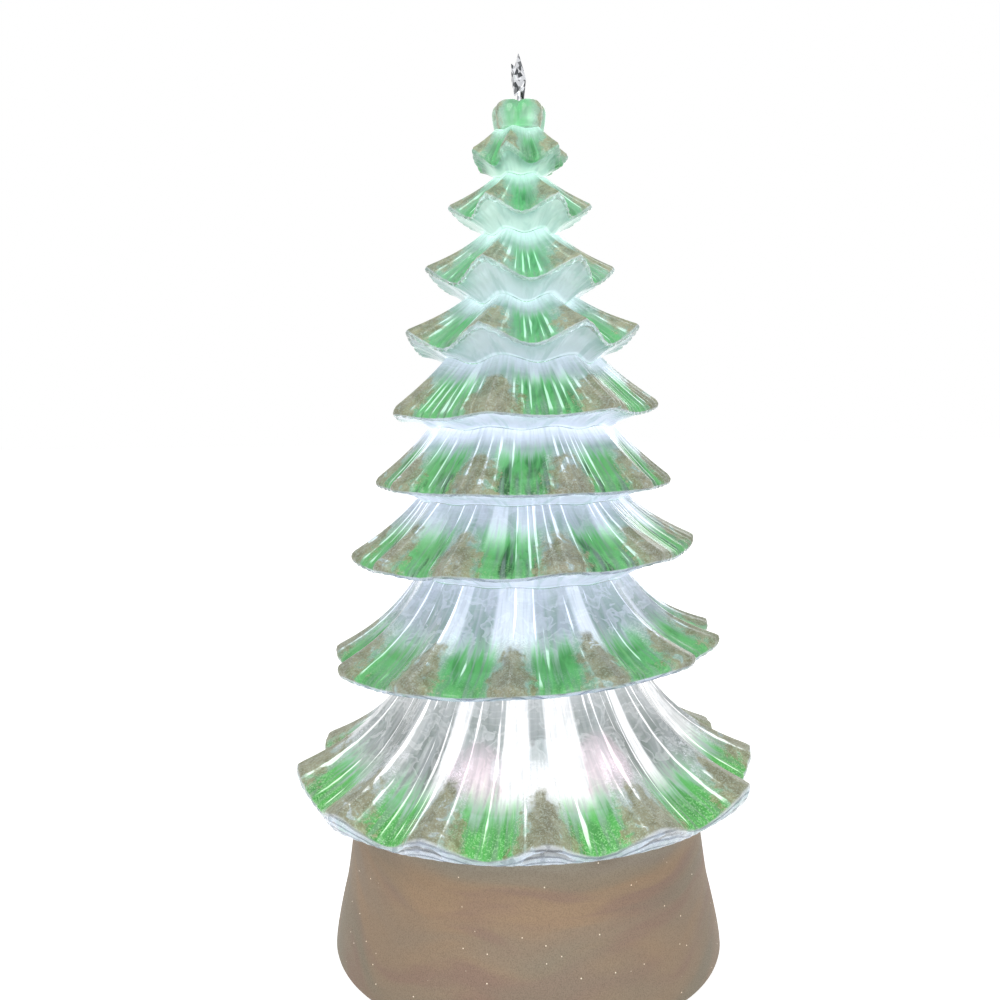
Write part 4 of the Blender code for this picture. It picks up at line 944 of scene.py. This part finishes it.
def finishNodes(nodes, material):
    for name in nodes:
        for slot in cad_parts[name].material_slots:
            slot.material = material


for name, finish in keptFinishes.items():
    finishNodes(finish["nodes"], mottledFinish(name, finish))
for name, finish in lampFinishes.items():
    finishNodes(finish["nodes"], lampFinish(name, finish))
finishNodes(("tree_floor_plate",), clearPlate("clear moulded acrylic", floorPlateFinish))
print("kept solids finished")


# Camera, light and floor

studio = {
    "cameraPlace": (0.0, -0.355, 0.1846), "pitch": 4.72, "yaw": 1.28, "roll": 0.69, "focal": 1030 / 1000 * 36,
    "paper": "#E7E7E7", "backdropGlow": 0.80, "skyStrength": 0.44, "floorHalf": 6.0, "floorDrop": 0.02 * mm,
    "panels": {
        "key": {"place": (-0.35, -1.0, 0.8), "target": (0, 0, 0.12), "size": 0.9, "power": 6.2},
        "fill": {"place": (0.5, -0.95, 0.35), "target": (0, 0, 0.15), "size": 0.8, "power": 2.6},
        "back": {"place": (0.25, 1.1, 0.6), "target": (0, 0, 0.13), "size": 0.9, "power": 3.0},
    },
}


def aimCamera(settings):
    pitch, yaw, roll = [math.radians(settings[name]) for name in ("pitch", "yaw", "roll")]
    forward = Vector((-math.sin(yaw) * math.cos(pitch), math.cos(yaw) * math.cos(pitch), -math.sin(pitch)))
    side = forward.cross(Vector((0, 0, 1))).normalized()
    up = side.cross(forward)
    across = side * math.cos(roll) - up * math.sin(roll)
    upright = up * math.cos(roll) + side * math.sin(roll)
    data = bpy.data.cameras.new("camera")
    data.sensor_width = 36.0
    data.lens = settings["focal"]
    data.clip_start = 0.01
    camera = bpy.data.objects.new("camera", data)
    camera.matrix_world = Matrix.Translation(settings["cameraPlace"]) @ Matrix(
        (across, upright, -forward)).transposed().to_4x4()
    bpy.context.scene.collection.objects.link(camera)
    bpy.context.scene.camera = camera


def seenDirectly(add):
    # 1 where the camera sees a surface, also by way of glass or a mirror
    seen = 0
    for label in ("Is Camera Ray", "Is Glossy Ray", "Is Transmission Ray"):
        seen = add("Math", (add("LightPath", out=label), seen), operation="MAXIMUM")
    return seen


def addPanel(name, panel):
    data = bpy.data.lights.new(name, "AREA")
    data.shape = "DISK"
    data.size = panel["size"]
    data.energy = panel["power"]
    lamp = bpy.data.objects.new(name, data)
    lamp.location = panel["place"]
    aim = Vector(panel["target"]) - Vector(panel["place"])
    lamp.rotation_euler = aim.to_track_quat("-Z", "Y").to_euler()
    bpy.context.scene.collection.objects.link(lamp)


def dressStudio(settings):
    # The background is white where it is seen, and the object is lit at a plain level
    world = bpy.data.worlds.new("studio")
    bpy.context.scene.world = world
    world.use_nodes = True
    world.node_tree.nodes.clear()
    add = partial(addNode, world.node_tree)
    strength = add("MapRange", (seenDirectly(add), 0.0, 1.0, settings["skyStrength"], 1.0))
    add("OutputWorld", (add("Background", {"Color": (1.0, 1.0, 1.0, 1.0), "Strength": strength}),))

    # The floor lies just under the feet, so that no faces coincide
    half, drop = settings["floorHalf"], -settings["floorDrop"]
    mesh = bpy.data.meshes.new("floor")
    mesh.from_pydata([(-half, -half, drop), (half, -half, drop), (half, half, drop), (-half, half, drop)], [],
                     [(0, 1, 2, 3)])
    floor = bpy.data.objects.new("floor", mesh)
    bpy.context.scene.collection.objects.link(floor)
    material, add = startMaterial("matt white paper")
    glow = add("MapRange", (seenDirectly(add), 0.0, 1.0, 0.0, settings["backdropGlow"]))
    add("OutputMaterial", (add("BsdfPrincipled", {
        "Base Color": hexColour(settings["paper"]), "Roughness": 0.9, "Specular IOR Level": 0.0,
        "Emission Color": (1.0, 1.0, 1.0, 1.0), "Emission Strength": glow}),))
    mesh.materials.append(material)
    for name, panel in settings["panels"].items():
        addPanel(name, panel)


aimCamera(studio)
dressStudio(studio)
bpy.context.scene.view_settings.view_transform = "Standard"
print("studio ready")
